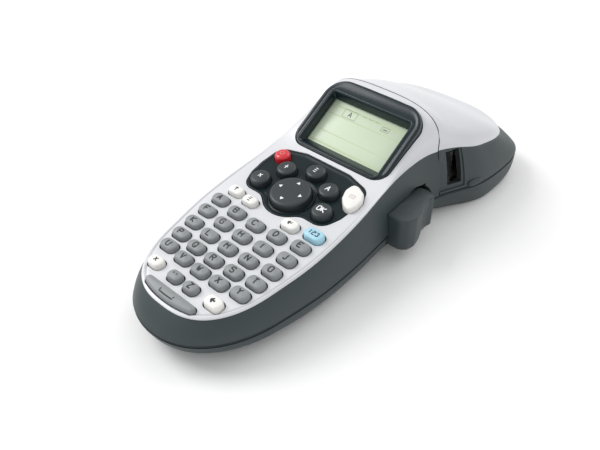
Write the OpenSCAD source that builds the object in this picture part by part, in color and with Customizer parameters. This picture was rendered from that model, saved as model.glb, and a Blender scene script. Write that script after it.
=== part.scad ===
/* [Body] */
// Overall length, keypad end to hinge at the rear
body_len = 195; // [192:1:198]
// Half width of the grip at its widest
grip_half_w = 33.2; // [32.8:0.1:33.6]
// Half width of the printing head
head_half_w = 42.6; // [42:0.1:43.2]
// Height of the parting line above the table
parting_z = 12; // [11.8:0.1:12.2]
// Height of the keypad face at the middle letter row
face_z = 24.3; // [24.2:0.1:24.8]
// Slope of the keypad face towards the head, in degrees
face_tilt = 7.18; // [7:0.02:7.3]
// Slope of the screen, in degrees
screen_tilt = 30.57; // [30:0.01:31]
// How far the face curves up out of its slope at the rounded end
nose_lift = 1.3; // [1.1:0.1:1.4]
// Wall thickness of the mouldings
wall = 2; // [1.8:0.1:2.2]
// Thickness of the silver face plate
plate_t = 1; // [0.8:0.1:1.1]

/* [Keys] */
// Column pitch of the top letter row
key_pitch_x = 10.5; // [10.3:0.1:10.6]
// Row pitch of the letter keys
key_pitch_y = 7.2; // [7:0.1:7.3]
// Length of a letter key
key_len = 7.7; // [7.2:0.1:7.8]
// Width of a letter key
key_wid = 5; // [4.7:0.1:5.1]
// How far a key stands above the face
key_proud = 2.3; // [2:0.1:2.5]
// Gap around each key
key_gap = 0.3; // [0.2:0.05:0.35]

/* [Screen] */
// Width of the screen bezel
bezel_w = 48.2; // [48:0.1:48.6]
// Height of the screen bezel along its slope
bezel_h = 35.2; // [34.8:0.1:35.4]
// Width of the visible display
lcd_w = 39.2; // [38:0.2:39.6]
// Height of the visible display
lcd_h = 21.8; // [21:0.1:22]

/* [Printing] */
// Radius of the platen roller
platen_r = 4; // [3.8:0.1:4.1]
// Teeth on the platen gear
platen_teeth = 36; // [36]
// Teeth on the motor pinion
pinion_teeth = 12; // [12]
// Gear module
gear_module = 0.5; // [0.5]
// Length of the tape slot along the body
slot_len = 6.6; // [6:0.1:6.8]
// Height of the tape slot
slot_h = 15.4; // [14.4:0.2:15.6]

/* [Batteries] */
// Radius of an AA cell
cell_r = 7.15; // [7.15]
// Length of an AA cell
cell_len = 50.3; // [50.3]
// Pitch between the cells
cell_pitch = 14.8; // [14.6:0.1:14.9]

/* [Hidden] */
FN_KEYS = ["key_cancel", "key_format", "key_settings", "key_insert", "key_ok"];
LETTERS = "ABCDEFGHIJKLMNOPQRSTUVWXY";
HOUSING = [
  "rear_housing", "front_housing", "face_plate", "screen_bezel", "lcd_module", "circuit_board",
  "battery_cover", "batteries", "cassette_door", "tape_cassette", "print_chassis", "platen_roller",
  "motor_pinion", "drive_motor", "print_head", "cutter_lever", "cutter_blade", "screws"
];
PILLS = [
  // name, x, y from the middle letter row, length, width, kind
  ["key_caps", -18.9, 22.3, 7.0, 4.6, 1],
  ["key_style", -10.4, 21.4, 7.0, 4.6, 1],
  ["key_return", 11.0, 21.0, 7.6, 5.0, 1],
  ["key_numbers", 21.5, 22.5, 8.4, 5.4, 2],
  ["key_delete", -15.6, -21.5, 6.8, 5.0, 1],
  ["key_symbol_left", -4.6, -21.9, 6.4, 4.7, 0],
  ["key_symbol_right", 3.8, -21.9, 6.4, 4.7, 0],
  ["key_enter", 15, -21.5, 7.6, 5.2, 1]
];

half_len = body_len / 2;
hinge_proud = 0.9;
front_y = -half_len;
rear_y = half_len - hinge_proud;
// Local y = 0 of the keypad, the middle letter row
row_y = front_y + 38.9;
// Line where the lid meets the front housing
seam_y = row_y + 91.1;
front_cap = 44;
rear_cap = 28.7;
rear_n = 3.4;
side_steps = 30;
face_slope = tan(face_tilt);
screen_slope = tan(screen_tilt);

nose_len = 24;
hump_y = -1.5;
hump_z = 32.1;
// Half width of the parting line along the body: [y, half width]
width_line = [
  [-65, grip_half_w - 1.8], [-43, grip_half_w], [-25, grip_half_w], [-3, grip_half_w - 1.5],
  [18, grip_half_w - 2.2], [31, grip_half_w - 0.8], [41, head_half_w - 6.2],
  [52, head_half_w - 1.6], [64, head_half_w], [80, head_half_w]
];
// Height of the edge between the dark wall and the silver skin: [y, z]
edge_line = [
  [-98, face_line(-98) - 0.6], [-86, face_line(-86) - 0.7], [-60, face_line(-60) - 0.8], [-16, face_line(-16) - 0.4],
  [4, 33.4], [18, 34.3], [28, 34.1], [40, 32.4], [54, 28.6], [70, 25.5], [84, 22.6]
];
// Height of the crown of the printing head: [y, z]
crown_line = [[31.5, 51.8], [40.5, 47.2], [54.5, 41.7], [68.5, 34.6], [82.5, 28.4]];
seam_gap = 0.25;

function station(line, y) = max([for (k = [0 : len(line) - 2]) if (k == 0 || y >= line[k][0]) k]);
function slope_at(line, k) =
  (k <= 0 || k >= len(line) - 1) ? 0
  : (line[k + 1][1] - line[k - 1][1]) / (line[k + 1][0] - line[k - 1][0]);
// Smooth curve through the stations of a line, level past its two ends
function along(line, y) =
  let (
    k = station(line, y), h = line[k + 1][0] - line[k][0],
    t = min(1, max(0, (y - line[k][0]) / h)), t2 = t * t, t3 = t2 * t
  )
  (2 * t3 - 3 * t2 + 1) * line[k][1] + (t3 - 2 * t2 + t) * h * slope_at(line, k)
  + (3 * t2 - 2 * t3) * line[k + 1][1] + (t3 - t2) * h * slope_at(line, k + 1);
// Rounded end: 0 at the tip, 1 once d passes the length of the rounding
function round_end(d, a, n) = d >= a ? 1 : pow(max(0, 1 - pow((a - d) / a, n)), 1 / n);
function ramp(y, y0, y1) = min(1, max(0, (y - y0) / (y1 - y0)));
// Share of the way from the lower letter rows to the rounded end
function nose(y) = max(0, row_y - 8 - y) / nose_len;
function face_line(y) = face_z + face_slope * (y - row_y) + nose_lift * pow(nose(y), 1.5);
function face_angle(y) = atan(face_slope - 1.5 * nose_lift / nose_len * sqrt(nose(y)));
function hump_line(y) = hump_z + screen_slope * (y - hump_y);
function crown(y) =
  y < hump_y - 5 ? face_line(y)
  : y < hump_y + 3 ? along([
      [hump_y - 14, face_line(hump_y - 14)], [hump_y - 5, face_line(hump_y - 5)],
      [hump_y + 3, hump_line(hump_y + 3)], [hump_y + 12, hump_line(hump_y + 12)]
    ], y)
  : y < seam_y - 1 ? hump_line(y)
  : along(crown_line, y);
// Exponent of the crowned cross-section: soft on the grip, squarer round the screen
function roundness(y) =
  2.5 + 1.7 * ramp(y, -6, 5) - 1.2 * ramp(y, 20, seam_y) - 0.86 * ramp(y, seam_y, seam_y + 10);
edge_front = 6.2;
spine_front = front_y + edge_front + front_cap;
spine_rear = rear_y - 36.2;

// One closed plan outline. i = inset of the sides, f and r = inset of the two ends
function half_outline(i0, i1, f, r, rear_a, rear_e, front_e = 2.2) = [
  for (k = [0 : side_steps])
    let (
      y0 = front_y + f, y1 = rear_y - r,
      y = (y0 + y1) / 2 - (y1 - y0) / 2 * cos(180 * k / side_steps),
      i = i0 + (i1 - i0) * ramp(y, seam_y, seam_y + 25)
    )
    [(along(width_line, y) - i) * round_end(y - y0, front_cap, front_e)
      * round_end(y1 - y, rear_a, rear_e), y]
];
function closed(half) = concat(half, [for (k = [side_steps - 1 : -1 : 1]) [-half[k][0], half[k][1]]]);
function bottom_ring(t) = [
  for (p = closed(half_outline(7 + t, 1.8 + t, 10.5 + t, 2.5 + t, rear_cap, rear_n))) [p[0], p[1], t]
];
function haunch_ring(t) = [
  for (p = closed(half_outline(3 + t, 0.5 + t, 5.5 + t, 0.8 + t, rear_cap, rear_n))) [p[0], p[1], 3.2 + t / 2]
];
function parting_ring(t) = [
  for (p = closed(half_outline(t, t, t, t, rear_cap, rear_n))) [p[0], p[1], parting_z]
];
side_in = 3.6;
edge_e = 2.6;
function edge_half(t) = half_outline(side_in + t, 5.6 + t, edge_front + t, 7.3 + t, 28.9, 2.83, edge_e);
function edge_ring(t, drop) = [for (p = closed(edge_half(t))) [p[0], p[1], along(edge_line, p[1]) - drop]];
// Rings that close the skin over the spine, from the edge inwards. s is 1 at the edge.
// square flattens the crown, for the underside of the key deck
function skin_ring(s, t, drop, square = 0) = [
  for (p = closed(edge_half(t)))
    let (
      spine = min(max(p[1], spine_front), spine_rear), y = spine + s * (p[1] - spine),
      m = roundness(y) + square, low = along(edge_line, p[1]) - drop, high = crown(y) - drop
    )
    [s * p[0], y, low + (high - low) * pow(1 - pow(s, m), 1 / m)]
];
SKIN_STEPS = [0.99, 0.96, 0.91, 0.84, 0.74, 0.58, 0.38, 0.16];
// Height of the skin above any point of the keypad face
function skin_z(x, y) =
  let (
    n = edge_e, m = roundness(y),
    s = min(0.999, pow(pow(abs(x) / (along(width_line, y) - side_in), n)
      + pow(max(0, spine_front - y) / front_cap, n), 1 / n)),
    low = along(edge_line, y)
  )
  low + (crown(y) - low) * pow(1 - pow(s, m), 1 / m);

// A solid from a pile of rings, closed across its lowest and highest ring
module stack(rings) {
  m = len(rings[0]);
  h = side_steps;
  top = (len(rings) - 1) * m;
  function other(k) = (m - k) % m;
  sides = [
    for (r = [0 : len(rings) - 2], k = [0 : m - 1])
      let (a = r * m + k, b = r * m + (k + 1) % m)
      each [[a, a + m, b], [b, a + m, b + m]]
  ];
  ends = [
    for (k = [0 : h - 1])
      each concat(
        k == 0 ? [] : [[k, k + 1, other(k)], [top + k, top + other(k), top + k + 1]],
        k == h - 1 ? [] : [[k + 1, other(k + 1), other(k)], [top + k + 1, top + other(k), top + other(k + 1)]]
      )
  ];
  polyhedron(points = [for (r = rings) each r], faces = concat(sides, ends), convexity = 8);
}

// The whole outside form, shrunk by t all round
module form(t) {
  stack(concat(
    [bottom_ring(t), haunch_ring(t), parting_ring(t), edge_ring(t, t)],
    [for (s = SKIN_STEPS) skin_ring(s, t, t)]
  ));
}
// Only the part over the silver edge, with a skirt below it
module cap_form(t, drop, skirt) {
  stack(concat(
    [edge_ring(t, drop + skirt), edge_ring(t, drop)],
    [for (s = SKIN_STEPS) skin_ring(s, t, drop)]
  ));
}
module slab(y0, y1, z0, z1) {
  translate([-60, y0, z0]) cube([120, y1 - y0, z1 - z0]);
}

/* Keys */
key_shift = 0.25;
function row_pitch(r) = key_pitch_x - 0.07 * r * r;
function letter_x(i) = key_shift + (i % 5 - 2) * row_pitch(floor(i / 5));
// The two lowest rows close up towards the rounded end
function letter_y(i) =
  let (r = floor(i / 5))
  row_y - 0.9 + key_pitch_y * (2 - r) + 0.22 * pow(max(0, r - 2), 2) + 0.0042 * pow(letter_x(i), 2);
nav_y = row_y + 33.3;
nav_r = 8.4;
fn_r = 4.2;
power_r = 3.5;
// How far the other keys stand above the face
fn_proud = 3;
nav_proud = 3.2;
power_proud = 2.8;
print_proud = 2.6;
space_proud = 2.2;
// Places of the round keys, about the middle of the round pad
FN_AT = [[-16.1, -0.3], [11, 9.7], [0, 15], [-11, 9.7], [16.1, -0.3]];
function fn_x(i) = FN_AT[i][0];
function fn_y(i) = nav_y + FN_AT[i][1];
power_at = [-18.5, row_y + 48.5];
print_at = [20.8, row_y + 45.1];
space_y = row_y - 29.7;
flange_t = 0.8;
deck_t = 1.6;
deck_top = plate_t + 0.2;
flange_top = -plate_t - deck_t - 0.1;
key_root = flange_top - flange_t;

module on_face(x, y) {
  translate([x, y, skin_z(x, y)]) rotate([face_angle(y), 0, 0]) children();
}
module pill(len, wid) {
  square([len - wid, wid], center = true);
  for (s = [-1, 1]) translate([s * (len - wid) / 2, 0]) circle(d = wid, $fn = 24);
}
module bean(grow) {
  // Space bar: straight above, curved below like the rounded end of the face
  bend_r = 42;
  half_angle = 15.2;
  wid = 3.2 + 2 * grow;
  translate([0, bend_r]) hull() {
    for (s = [-1, 1]) rotate(s * half_angle) translate([0, -bend_r]) circle(d = wid, $fn = 32);
    difference() {
      intersection() {
        circle(r = bend_r + wid / 2, $fn = 90);
        polygon([[0, 0], for (s = [-1, 1]) [s * 60 * sin(half_angle), -60 * cos(half_angle)]]);
      }
      circle(r = bend_r - wid / 2, $fn = 90);
    }
  }
}
module lens(grow) {
  // Print key: an upright leaf that follows the rounded side of the face
  offset(r = 1.4 + grow, $fn = 24) offset(delta = -1.4) polygon([
    [-4.2, 6.2], [-1.5, 6.5], [2.5, 4.5], [4.4, 1], [4.6, -2.9], [3.4, -6.5],
    [-0.4, -5.1], [-3.2, -2.3], [-4.8, 1.9]
  ]);
}
// One key: flange under the deck, shaft through it and a cap with a stepped crown
module pill_key(len, wid, proud) {
  translate([0, 0, key_root]) linear_extrude(flange_t) pill(len + 1.2, wid + 1.2);
  translate([0, 0, key_root]) linear_extrude(proud - 0.35 - key_root) pill(len, wid);
  translate([0, 0, key_root]) linear_extrude(proud - key_root) pill(len - 0.8, wid - 0.8);
}
module letter_key(i) {
  color("#9a9c9e") on_face(letter_x(i), letter_y(i)) pill_key(key_len, key_wid, key_proud);
}
module round_key(r, proud) {
  translate([0, 0, key_root]) cylinder(r = r + 0.6, h = flange_t, $fn = 48);
  translate([0, 0, key_root]) cylinder(r = r, h = proud - 0.4 - key_root, $fn = 48);
  translate([0, 0, key_root]) cylinder(r = r - 0.5, h = proud - key_root, $fn = 48);
}
module pill_by_name(name) {
  for (p = PILLS) if (p[0] == name)
    color(p[5] == 0 ? "#9a9c9e" : p[5] == 1 ? "#f2f2f0" : "#a9d3e6")
      on_face(p[1], row_y + p[2]) pill_key(p[3], p[4], key_proud + 0.2);
}
module fn_key(i) {
  color("#3c4144") on_face(fn_x(i), fn_y(i)) round_key(fn_r, fn_proud);
}
module key_space() {
  color("#9a9c9e") on_face(0, space_y) {
    translate([0, 0, key_root]) linear_extrude(flange_t) bean(0.4);
    translate([0, 0, key_root]) linear_extrude(space_proud - 0.4 - key_root) bean(0);
    translate([0, 0, key_root]) linear_extrude(space_proud - key_root) bean(-0.4);
  }
}
module key_power() {
  color("#c81a24") on_face(power_at[0], power_at[1]) round_key(power_r, power_proud);
}
module key_print() {
  color("#f4f3f1") on_face(print_at[0], print_at[1]) {
    translate([0, 0, key_root]) linear_extrude(flange_t) lens(0.6);
    translate([0, 0, key_root]) linear_extrude(print_proud - 0.4 - key_root) lens(0);
    translate([0, 0, key_root]) linear_extrude(print_proud - key_root) lens(-0.4);
  }
}
module nav_pad() {
  color("#34393c") on_face(0, nav_y) {
    translate([0, 0, key_root]) cylinder(r = nav_r + 0.8, h = flange_t, $fn = 64);
    translate([0, 0, key_root]) cylinder(r = nav_r, h = nav_proud - 0.6 - key_root, $fn = 64);
    translate([0, 0, key_root]) cylinder(r = nav_r - 0.8, h = nav_proud - key_root, $fn = 64);
  }
}

/* Cut-outs shared by the face plate and the front housing */
module pill_hole(len, wid) {
  hull() for (s = [-1, 1]) translate([s * (len - wid) / 2, 0, -6])
    cylinder(d = wid + 2 * key_gap, h = 12, $fn = 14);
}
module face_key_holes() {
  for (i = [0 : len(LETTERS) - 1]) on_face(letter_x(i), letter_y(i)) pill_hole(key_len, key_wid);
  for (p = PILLS) on_face(p[1], row_y + p[2]) pill_hole(p[3], p[4]);
  on_face(0, space_y) translate([0, 0, -6]) linear_extrude(12) bean(key_gap);
}
// Room under the deck for the flanges of the keys by the rounded end
module flange_pockets() {
  pocket = 8;
  room = 1.7;
  for (i = [15, 19, 20, 24]) on_face(letter_x(i), letter_y(i))
    translate([0, 0, flange_top + 0.15 - pocket]) linear_extrude(pocket) pill(key_len + room, key_wid + room);
  for (p = PILLS) if (p[2] < 0) on_face(p[1], row_y + p[2])
    translate([0, 0, flange_top + 0.15 - pocket]) linear_extrude(pocket) pill(p[3] + room, p[4] + room);
  on_face(0, space_y) translate([0, 0, flange_top + 0.15 - pocket]) linear_extrude(pocket) bean(0.8);
}
module print_key_hole() {
  on_face(print_at[0], print_at[1]) translate([0, 0, -6]) linear_extrude(12) lens(key_gap);
}
module cluster_holes() {
  for (i = [0 : len(FN_AT) - 1]) on_face(fn_x(i), fn_y(i))
    translate([0, 0, -6]) cylinder(r = fn_r + key_gap, h = 12, $fn = 32);
  on_face(0, nav_y) translate([0, 0, -6]) cylinder(r = nav_r + key_gap, h = 12, $fn = 48);
  on_face(power_at[0], power_at[1]) translate([0, 0, -6]) cylinder(r = power_r + key_gap, h = 12, $fn = 32);
  print_key_hole();
}
// Dark control panel: a rounded shield with the round pad's ring at its foot.
// Its corner circles on one side: x, y from the middle letter row, radius
panel_corners = [
  [10.5, 50.3, 5.4], [18.2, 48.3, 5.4], [18.2, 42, 5.9], [17.6, 36.5, 5.9], [16.4, 33.1, 5.8]
];
module panel_outline(grow) {
  offset(r = -3, $fn = 24) offset(r = 3 + grow, $fn = 24) {
    hull() for (s = [-1, 1], c = panel_corners)
      translate([s * c[0], c[1]]) circle(r = c[2], $fn = 32);
    translate([0, 33.3]) circle(r = 11.2, $fn = 48);
  }
}
module panel_block(grow, z0, z1) {
  translate([0, row_y, z0]) linear_extrude(z1 - z0) panel_outline(grow);
}

/* Screen, on a plane sloped with the hump */
screen_y = hump_y + 15.85;
lcd_off = -1.5;
screen_x = 0.8;
module on_screen() {
  translate([screen_x, screen_y, hump_line(screen_y)]) rotate([screen_tilt, 0, 0]) children();
}
module rounded_box(w, h, r_low, r_high, z0, z1) {
  hull() for (s = [-1, 1]) {
    translate([s * (w / 2 - r_low), -h / 2 + r_low, z0]) cylinder(r = r_low, h = z1 - z0, $fn = 32);
    translate([s * (w / 2 - r_high), h / 2 - r_high, z0]) cylinder(r = r_high, h = z1 - z0, $fn = 32);
  }
}
lcd_drop = 4.1;
module screen_bezel() {
  color("#20292c") on_screen() difference() {
    rounded_box(bezel_w, bezel_h, 6.5, 9.5, -3.4, 0.9);
    hull() {
      translate([-lcd_w / 2 - 1.4, -16, 0.9]) cube([lcd_w + 2.8, 27.1, 0.1]);
      translate([-lcd_w / 2, lcd_off - lcd_h / 2, -3.5]) cube([lcd_w, lcd_h, 0.1]);
    }
  }
}
module lcd_module() {
  color("#cfd9bd") on_screen() {
    translate([-22.5, lcd_off - 13.6, -lcd_drop - 1.8]) cube([45, 27.2, 1.8]);
    translate([-23.5, lcd_off - 14.4, -lcd_drop - 4]) cube([47, 28.8, 2.2]);
  }
}

module face_plate() {
  color("#dfe0e2") difference() {
    cap_form(0, 0, 0.5);
    cap_form(plate_t, plate_t, 4);
    slab(seam_y - seam_gap, 120, 0, 80);
    face_key_holes();
    print_key_hole();
    panel_block(0.15, 0, 80);
    on_screen() rounded_box(bezel_w + 0.4, bezel_h + 0.4, 6.7, 9.7, -8, 8);
  }
}

module front_housing() {
  color("#454f52") difference() {
    union() {
      difference() {
        union() {
          stack([parting_ring(0), edge_ring(0, 0.6), edge_ring(deck_top, 0.6),
            for (s = SKIN_STEPS) skin_ring(s, deck_top, deck_top)]);
          intersection() {
            cap_form(plate_t, 0.25, 4);
            panel_block(-0.15, 0, 80);
          }
        }
        housing_hollow(plate_t + deck_t);
      }
      intersection() {
        form(wall / 2);
        union() {
          slab(seam_y - seam_gap - 1.8, seam_y - seam_gap, parting_z, 80);
          for (p = screw_posts) translate([p[0], p[1], parting_z])
            cylinder(r = 3, h = p[1] < 0 ? 30 : 20, $fn = 24);
          for (p = screw_posts) if (p[1] > 0)
            translate([p[0] - 1, p[1], parting_z]) cube([2, seam_y - p[1] - 1, 20]);
          translate([lever_pivot[0], lever_pivot[1], lever_high + 0.5]) cylinder(r = 2.5, h = 30, $fn = 24);
          lever_bay(parting_z, 24.4);
        }
      }
    }
    translate([0, 0, -50]) slab(-120, 120, 0, 50 + parting_z + seam_gap / 2);
    slab(seam_y - seam_gap, 120, 0, 80);
    for (p = screw_posts) translate([p[0], p[1], 0]) cylinder(r = 1.35, h = 16, $fn = 24);
    translate([lever_pivot[0], lever_pivot[1], 0]) cylinder(r = 1.3, h = 25.9, $fn = 32);
    face_key_holes();
    flange_pockets();
    cluster_holes();
    lever_window();
    on_screen() {
      rounded_box(bezel_w + 0.4, bezel_h + 0.4, 6.7, 9.7, -3.7, 8);
      translate([-24, lcd_off - 15, -30]) cube([48, 30, 31]);
    }
  }
}
// Hollow inside the front housing: open below the parting line
module housing_hollow(t) {
  stack(concat(
    [[for (p = parting_ring(wall)) [p[0], p[1], 2]], parting_ring(wall), edge_ring(wall, t + 1)],
    [for (s = SKIN_STEPS) skin_ring(s, wall, t, 4)]
  ));
}

/* Cutter lever: a block on an upright pivot that is squeezed into the side */
lever_pivot = [27.8, -0.6];
lever_low = 6.8;
lever_high = 22;
module lever_window() {
  translate([26.6, -3.3, lever_low - 0.8]) cube([20, 27, lever_high - lever_low + 1.4]);
  translate([26.6, 16.6, parting_z]) intersection() {
    rotate([0, 90, 0]) cylinder(r = 11.6, h = 20, $fn = 60);
    translate([0, -13, lever_low - 0.8 - parting_z]) cube([20, 26, 20]);
  }
}
// Wall that closes off the room behind the lever
module lever_bay(z0, z1) {
  translate([23, -4.4, z0]) cube([1.2, 35.4, z1 - z0]);
  translate([23, -4.4, z0]) cube([12, 1.1, z1 - z0]);
}
module lever_plan(shrink) {
  offset(r = 1, $fn = 24) offset(delta = -1 - shrink) polygon([
    [26.2, -2.8], [36.6, -3.0], [39.6, -0.8], [40.6, 3], [39.4, 8], [37.4, 12.5],
    [37.1, 16], [37.8, 19.2], [36, 21], [29.5, 21], [26.2, 8]
  ]);
}
module cutter_lever() {
  color("#414b4e") {
    translate([0, 0, lever_low]) linear_extrude(lever_high - lever_low - 0.8) lever_plan(0);
    translate([0, 0, lever_high - 0.81]) linear_extrude(0.81) lever_plan(0.6);
    translate([lever_pivot[0], lever_pivot[1], lever_low - 1.9])
      cylinder(r = 1.2, h = lever_high - lever_low + 5.2, $fn = 40);
  }
}

/* Rear housing and battery cover */
cover_top = 2.1;
cover_end = -0.8;
cell_z = 2.6 + cell_r;
bay_mid = -33.9;
bay_half = 2 * cell_pitch + 0.6;
screw_posts = [[-17, -76], [17, -76], [-20, 26.4], [20, 26.4]];
chassis_posts = [[-31, 60], [33.5, 66], [0, 82]];
module rear_housing() {
  color("#454f52") difference() {
    union() {
      difference() {
        form(0);
        hollow_below();
        slab(-120, cover_end + 0.2, -1, cover_top + 0.15);
        slab(-120, 120, parting_z - seam_gap / 2, 90);
      }
      intersection() {
        form(wall / 2);
        union() {
          floor_plate();
          bay_walls();
          lever_bay(3, parting_z);
          for (p = screw_posts) translate([p[0], p[1], cover_top + 0.15]) cylinder(r = 3.4, h = 7.5, $fn = 32);
          for (p = chassis_posts) translate([p[0], p[1], 1]) cylinder(r = 2.6, h = 7.0, $fn = 32);
          translate([lever_pivot[0], lever_pivot[1], 2.3]) cylinder(r = 2.6, h = 4.1, $fn = 32);
        }
      }
      for (s = [-1, 1]) hull() {
        translate([s * 7.4 - 2, hinge_y, hinge_z]) rotate([0, 90, 0]) cylinder(r = hinge_r, h = 4, $fn = 32);
        translate([s * 7.4 - 2, hinge_y - 2.2, 6.5]) cube([4, 2.2, 1]);
      }
    }
    cell_opening();
    for (p = screw_posts) translate([p[0], p[1], -1]) {
      cylinder(r = 1.45, h = 14, $fn = 24);
      cylinder(r = 2.7, h = p[1] < 0 ? 6.2 : 3.7, $fn = 24);
    }
    translate([lever_pivot[0], lever_pivot[1], 3.9]) cylinder(r = 1.3, h = 14, $fn = 40);
    lever_window();
    translate([-12, hinge_y, hinge_z]) rotate([0, 90, 0]) cylinder(r = 0.9, h = 24, $fn = 40);
    translate([-5.1, hinge_y - 3, 8.6]) cube([10.2, 6, 6]);
  }
}
module hollow_below() {
  stack([
    bottom_ring(wall), haunch_ring(wall), parting_ring(wall),
    [for (p = parting_ring(wall)) [p[0], p[1], parting_z + 2]]
  ]);
}
module floor_plate() {
  slab(-120, cover_end + 2.2, cover_top + 0.15, 4);
}
module bay_walls() {
  for (y = [bay_mid - bay_half - 1.2, bay_mid + bay_half])
    translate([-26, y, 3]) cube([52, 1.2, parting_z - 3.4]);
}
module cell_opening() {
  translate([-26.6, bay_mid - bay_half, -1]) cube([53.2, 2 * bay_half, 30]);
}
module battery_cover() {
  color("#4a5457") difference() {
    intersection() {
      form(0);
      slab(-120, cover_end, -1, cover_top);
    }
    for (k = [0 : 4]) translate([-9, cover_end - 9 + 1.6 * k, -0.5]) cube([18, 0.8, 1]);
  }
}
module batteries() {
  color("#b98a4a") for (k = [0 : 3])
    translate([0, bay_mid + (k - 1.5) * cell_pitch, cell_z]) rotate([0, k % 2 == 0 ? 90 : -90, 0]) {
      translate([0, 0, -cell_len / 2]) cylinder(r = cell_r, h = cell_len - 1.2, $fn = 48);
      translate([0, 0, cell_len / 2 - 1.3]) cylinder(r = 2.7, h = 1.3, $fn = 32);
    }
}
module screw(p) {
  low = p[1] < 0 ? 3.4 : 0.9;
  translate([p[0], p[1], low]) {
    difference() {
      cylinder(r = 2.3, h = 1.7, $fn = 32);
      for (a = [0, 90]) rotate(a) translate([-1.3, -0.25, -0.1]) cube([2.6, 0.5, 0.9]);
    }
    translate([0, 0, 1.6]) cylinder(r = 1.25, h = 8.5, $fn = 24);
  }
}
module screws() {
  color("#b9bcc0") for (p = screw_posts) screw(p);
}
board_drop = 5.3;
board_t = 1;
module circuit_board() {
  color("#2c6b45") translate([0, row_y, face_z - board_drop]) rotate([face_tilt, 0, 0])
    translate([0, -row_y, -board_t]) linear_extrude(board_t) difference() {
      intersection() {
        polygon(closed(half_outline(6, 6, 9, 9, rear_cap, rear_n)));
        translate([-40, -120]) square([80, 120 - 7]);
      }
      for (p = screw_posts) translate([p[0], p[1]]) circle(r = 3.5, $fn = 32);
    }
}

/* Lid over the cassette, hinged at the rear */
hinge_r = 1.4;
hinge_y = rear_y - 0.5;
hinge_z = parting_z + 1.5;
lid_low = parting_z + seam_gap;
path_y = seam_y + 7.3;
slot_low = 15.6;
module cassette_door() {
  color("#dcdddf") difference() {
    union() {
      difference() {
        form(0);
        form_lid_hollow();
        slab(-120, seam_y, -10, 90);
        slab(-120, 120, -10, lid_low);
        translate([-9.8, hinge_y - 2.2, 0]) cube([19.6, 6, hinge_z + hinge_r + 0.3]);
      }
      hull() {
        translate([-4.8, hinge_y, hinge_z]) rotate([0, 90, 0]) cylinder(r = hinge_r, h = 9.6, $fn = 32);
        translate([-4.8, hinge_y - 3.6, hinge_z]) cube([9.6, 1.8, hinge_r + 1]);
      }
      translate([-9.2, hinge_y, hinge_z]) rotate([0, 90, 0]) cylinder(r = 0.8, h = 18.4, $fn = 40);
      catch_tab();
    }
    tape_slot();
  }
}
module form_lid_hollow() {
  stack(concat(
    [[for (p = parting_ring(wall)) [p[0], p[1], 2]], parting_ring(wall), edge_ring(wall, wall)],
    [for (s = SKIN_STEPS) skin_ring(s, wall, wall)]
  ));
}
module tape_slot() {
  translate([24, path_y - slot_len / 2, slot_low]) cube([30, slot_len, slot_h]);
}
// Thumb tab that hooks the lid shut, standing just clear of the lower wall
module catch_tab() {
  difference() {
    hull() for (k = [[38, 46.2], [40, 51.8]])
      translate([k[0], k[1], parting_z + 1.2]) scale([0.7, 1.3, 1.2]) sphere(r = 1.7, $fn = 16);
    intersection() {
      form(-0.2);
      slab(-120, 120, -5, lid_low);
    }
  }
}

/* Print works in the head */
platen_at = [16.5, path_y + platen_r + 0.15];
gear_gap = (platen_teeth + pinion_teeth) * gear_module / 2 + 0.1;
pinion_at = [platen_at[0] + gear_gap * cos(42), platen_at[1] + gear_gap * sin(42)];
gear_z = 4;
gear_t = 3.4;
chassis_z = 8.1;
chassis_t = 1.6;
chassis_top = chassis_z + chassis_t;
module gear(teeth) {
  r_pitch = teeth * gear_module / 2;
  circle(r = r_pitch - 1.2 * gear_module, $fn = 64);
  for (k = [0 : teeth - 1]) rotate(360 * k / teeth) polygon([
    [r_pitch - 1.4 * gear_module, -0.40], [r_pitch, -0.32], [r_pitch + 0.8 * gear_module, -0.16],
    [r_pitch + 0.8 * gear_module, 0.16], [r_pitch, 0.32], [r_pitch - 1.4 * gear_module, 0.40]
  ]);
}
module platen_roller() {
  color("#2b2d2f") translate([platen_at[0], platen_at[1], 0]) {
    translate([0, 0, gear_z]) linear_extrude(gear_t) gear(platen_teeth);
    translate([0, 0, 2.4]) cylinder(r = 1.1, h = 29, $fn = 32);
    translate([0, 0, 13]) cylinder(r = platen_r, h = 16.5, $fn = 48);
  }
}
module motor_pinion() {
  color("#e8e4d6") translate([pinion_at[0], pinion_at[1], 0]) {
    translate([0, 0, gear_z]) linear_extrude(gear_t)
      rotate(42 + 180 + 180 / pinion_teeth + 42 * (platen_teeth / pinion_teeth)) gear(pinion_teeth);
    translate([0, 0, 2.6]) cylinder(r = 0.75, h = chassis_top - 1.8, $fn = 32);
  }
}
module drive_motor() {
  color("#a9adb0") translate([pinion_at[0], pinion_at[1], 0]) {
    translate([0, 0, chassis_top + 1]) cylinder(r = 6, h = 15, $fn = 48);
    translate([0, 0, chassis_top + 16]) cylinder(r = 2.2, h = 1, $fn = 32);
    difference() {
      translate([0, 0, chassis_top]) cylinder(r = 2.6, h = 1.01, $fn = 32);
      translate([0, 0, chassis_top - 0.1]) cylinder(r = 1.0, h = 1.02, $fn = 32);
    }
  }
}
module print_head() {
  color("#8f9498") {
    translate([9.5, path_y - 2.6, chassis_top]) cube([13, 1.3, 19]);
    translate([12.5, path_y - 1.31, 14]) cube([7.5, 1.1, 14]);
    translate([9.5, path_y - 4.0, chassis_top]) cube([13, 1.41, 1.5]);
  }
}
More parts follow.
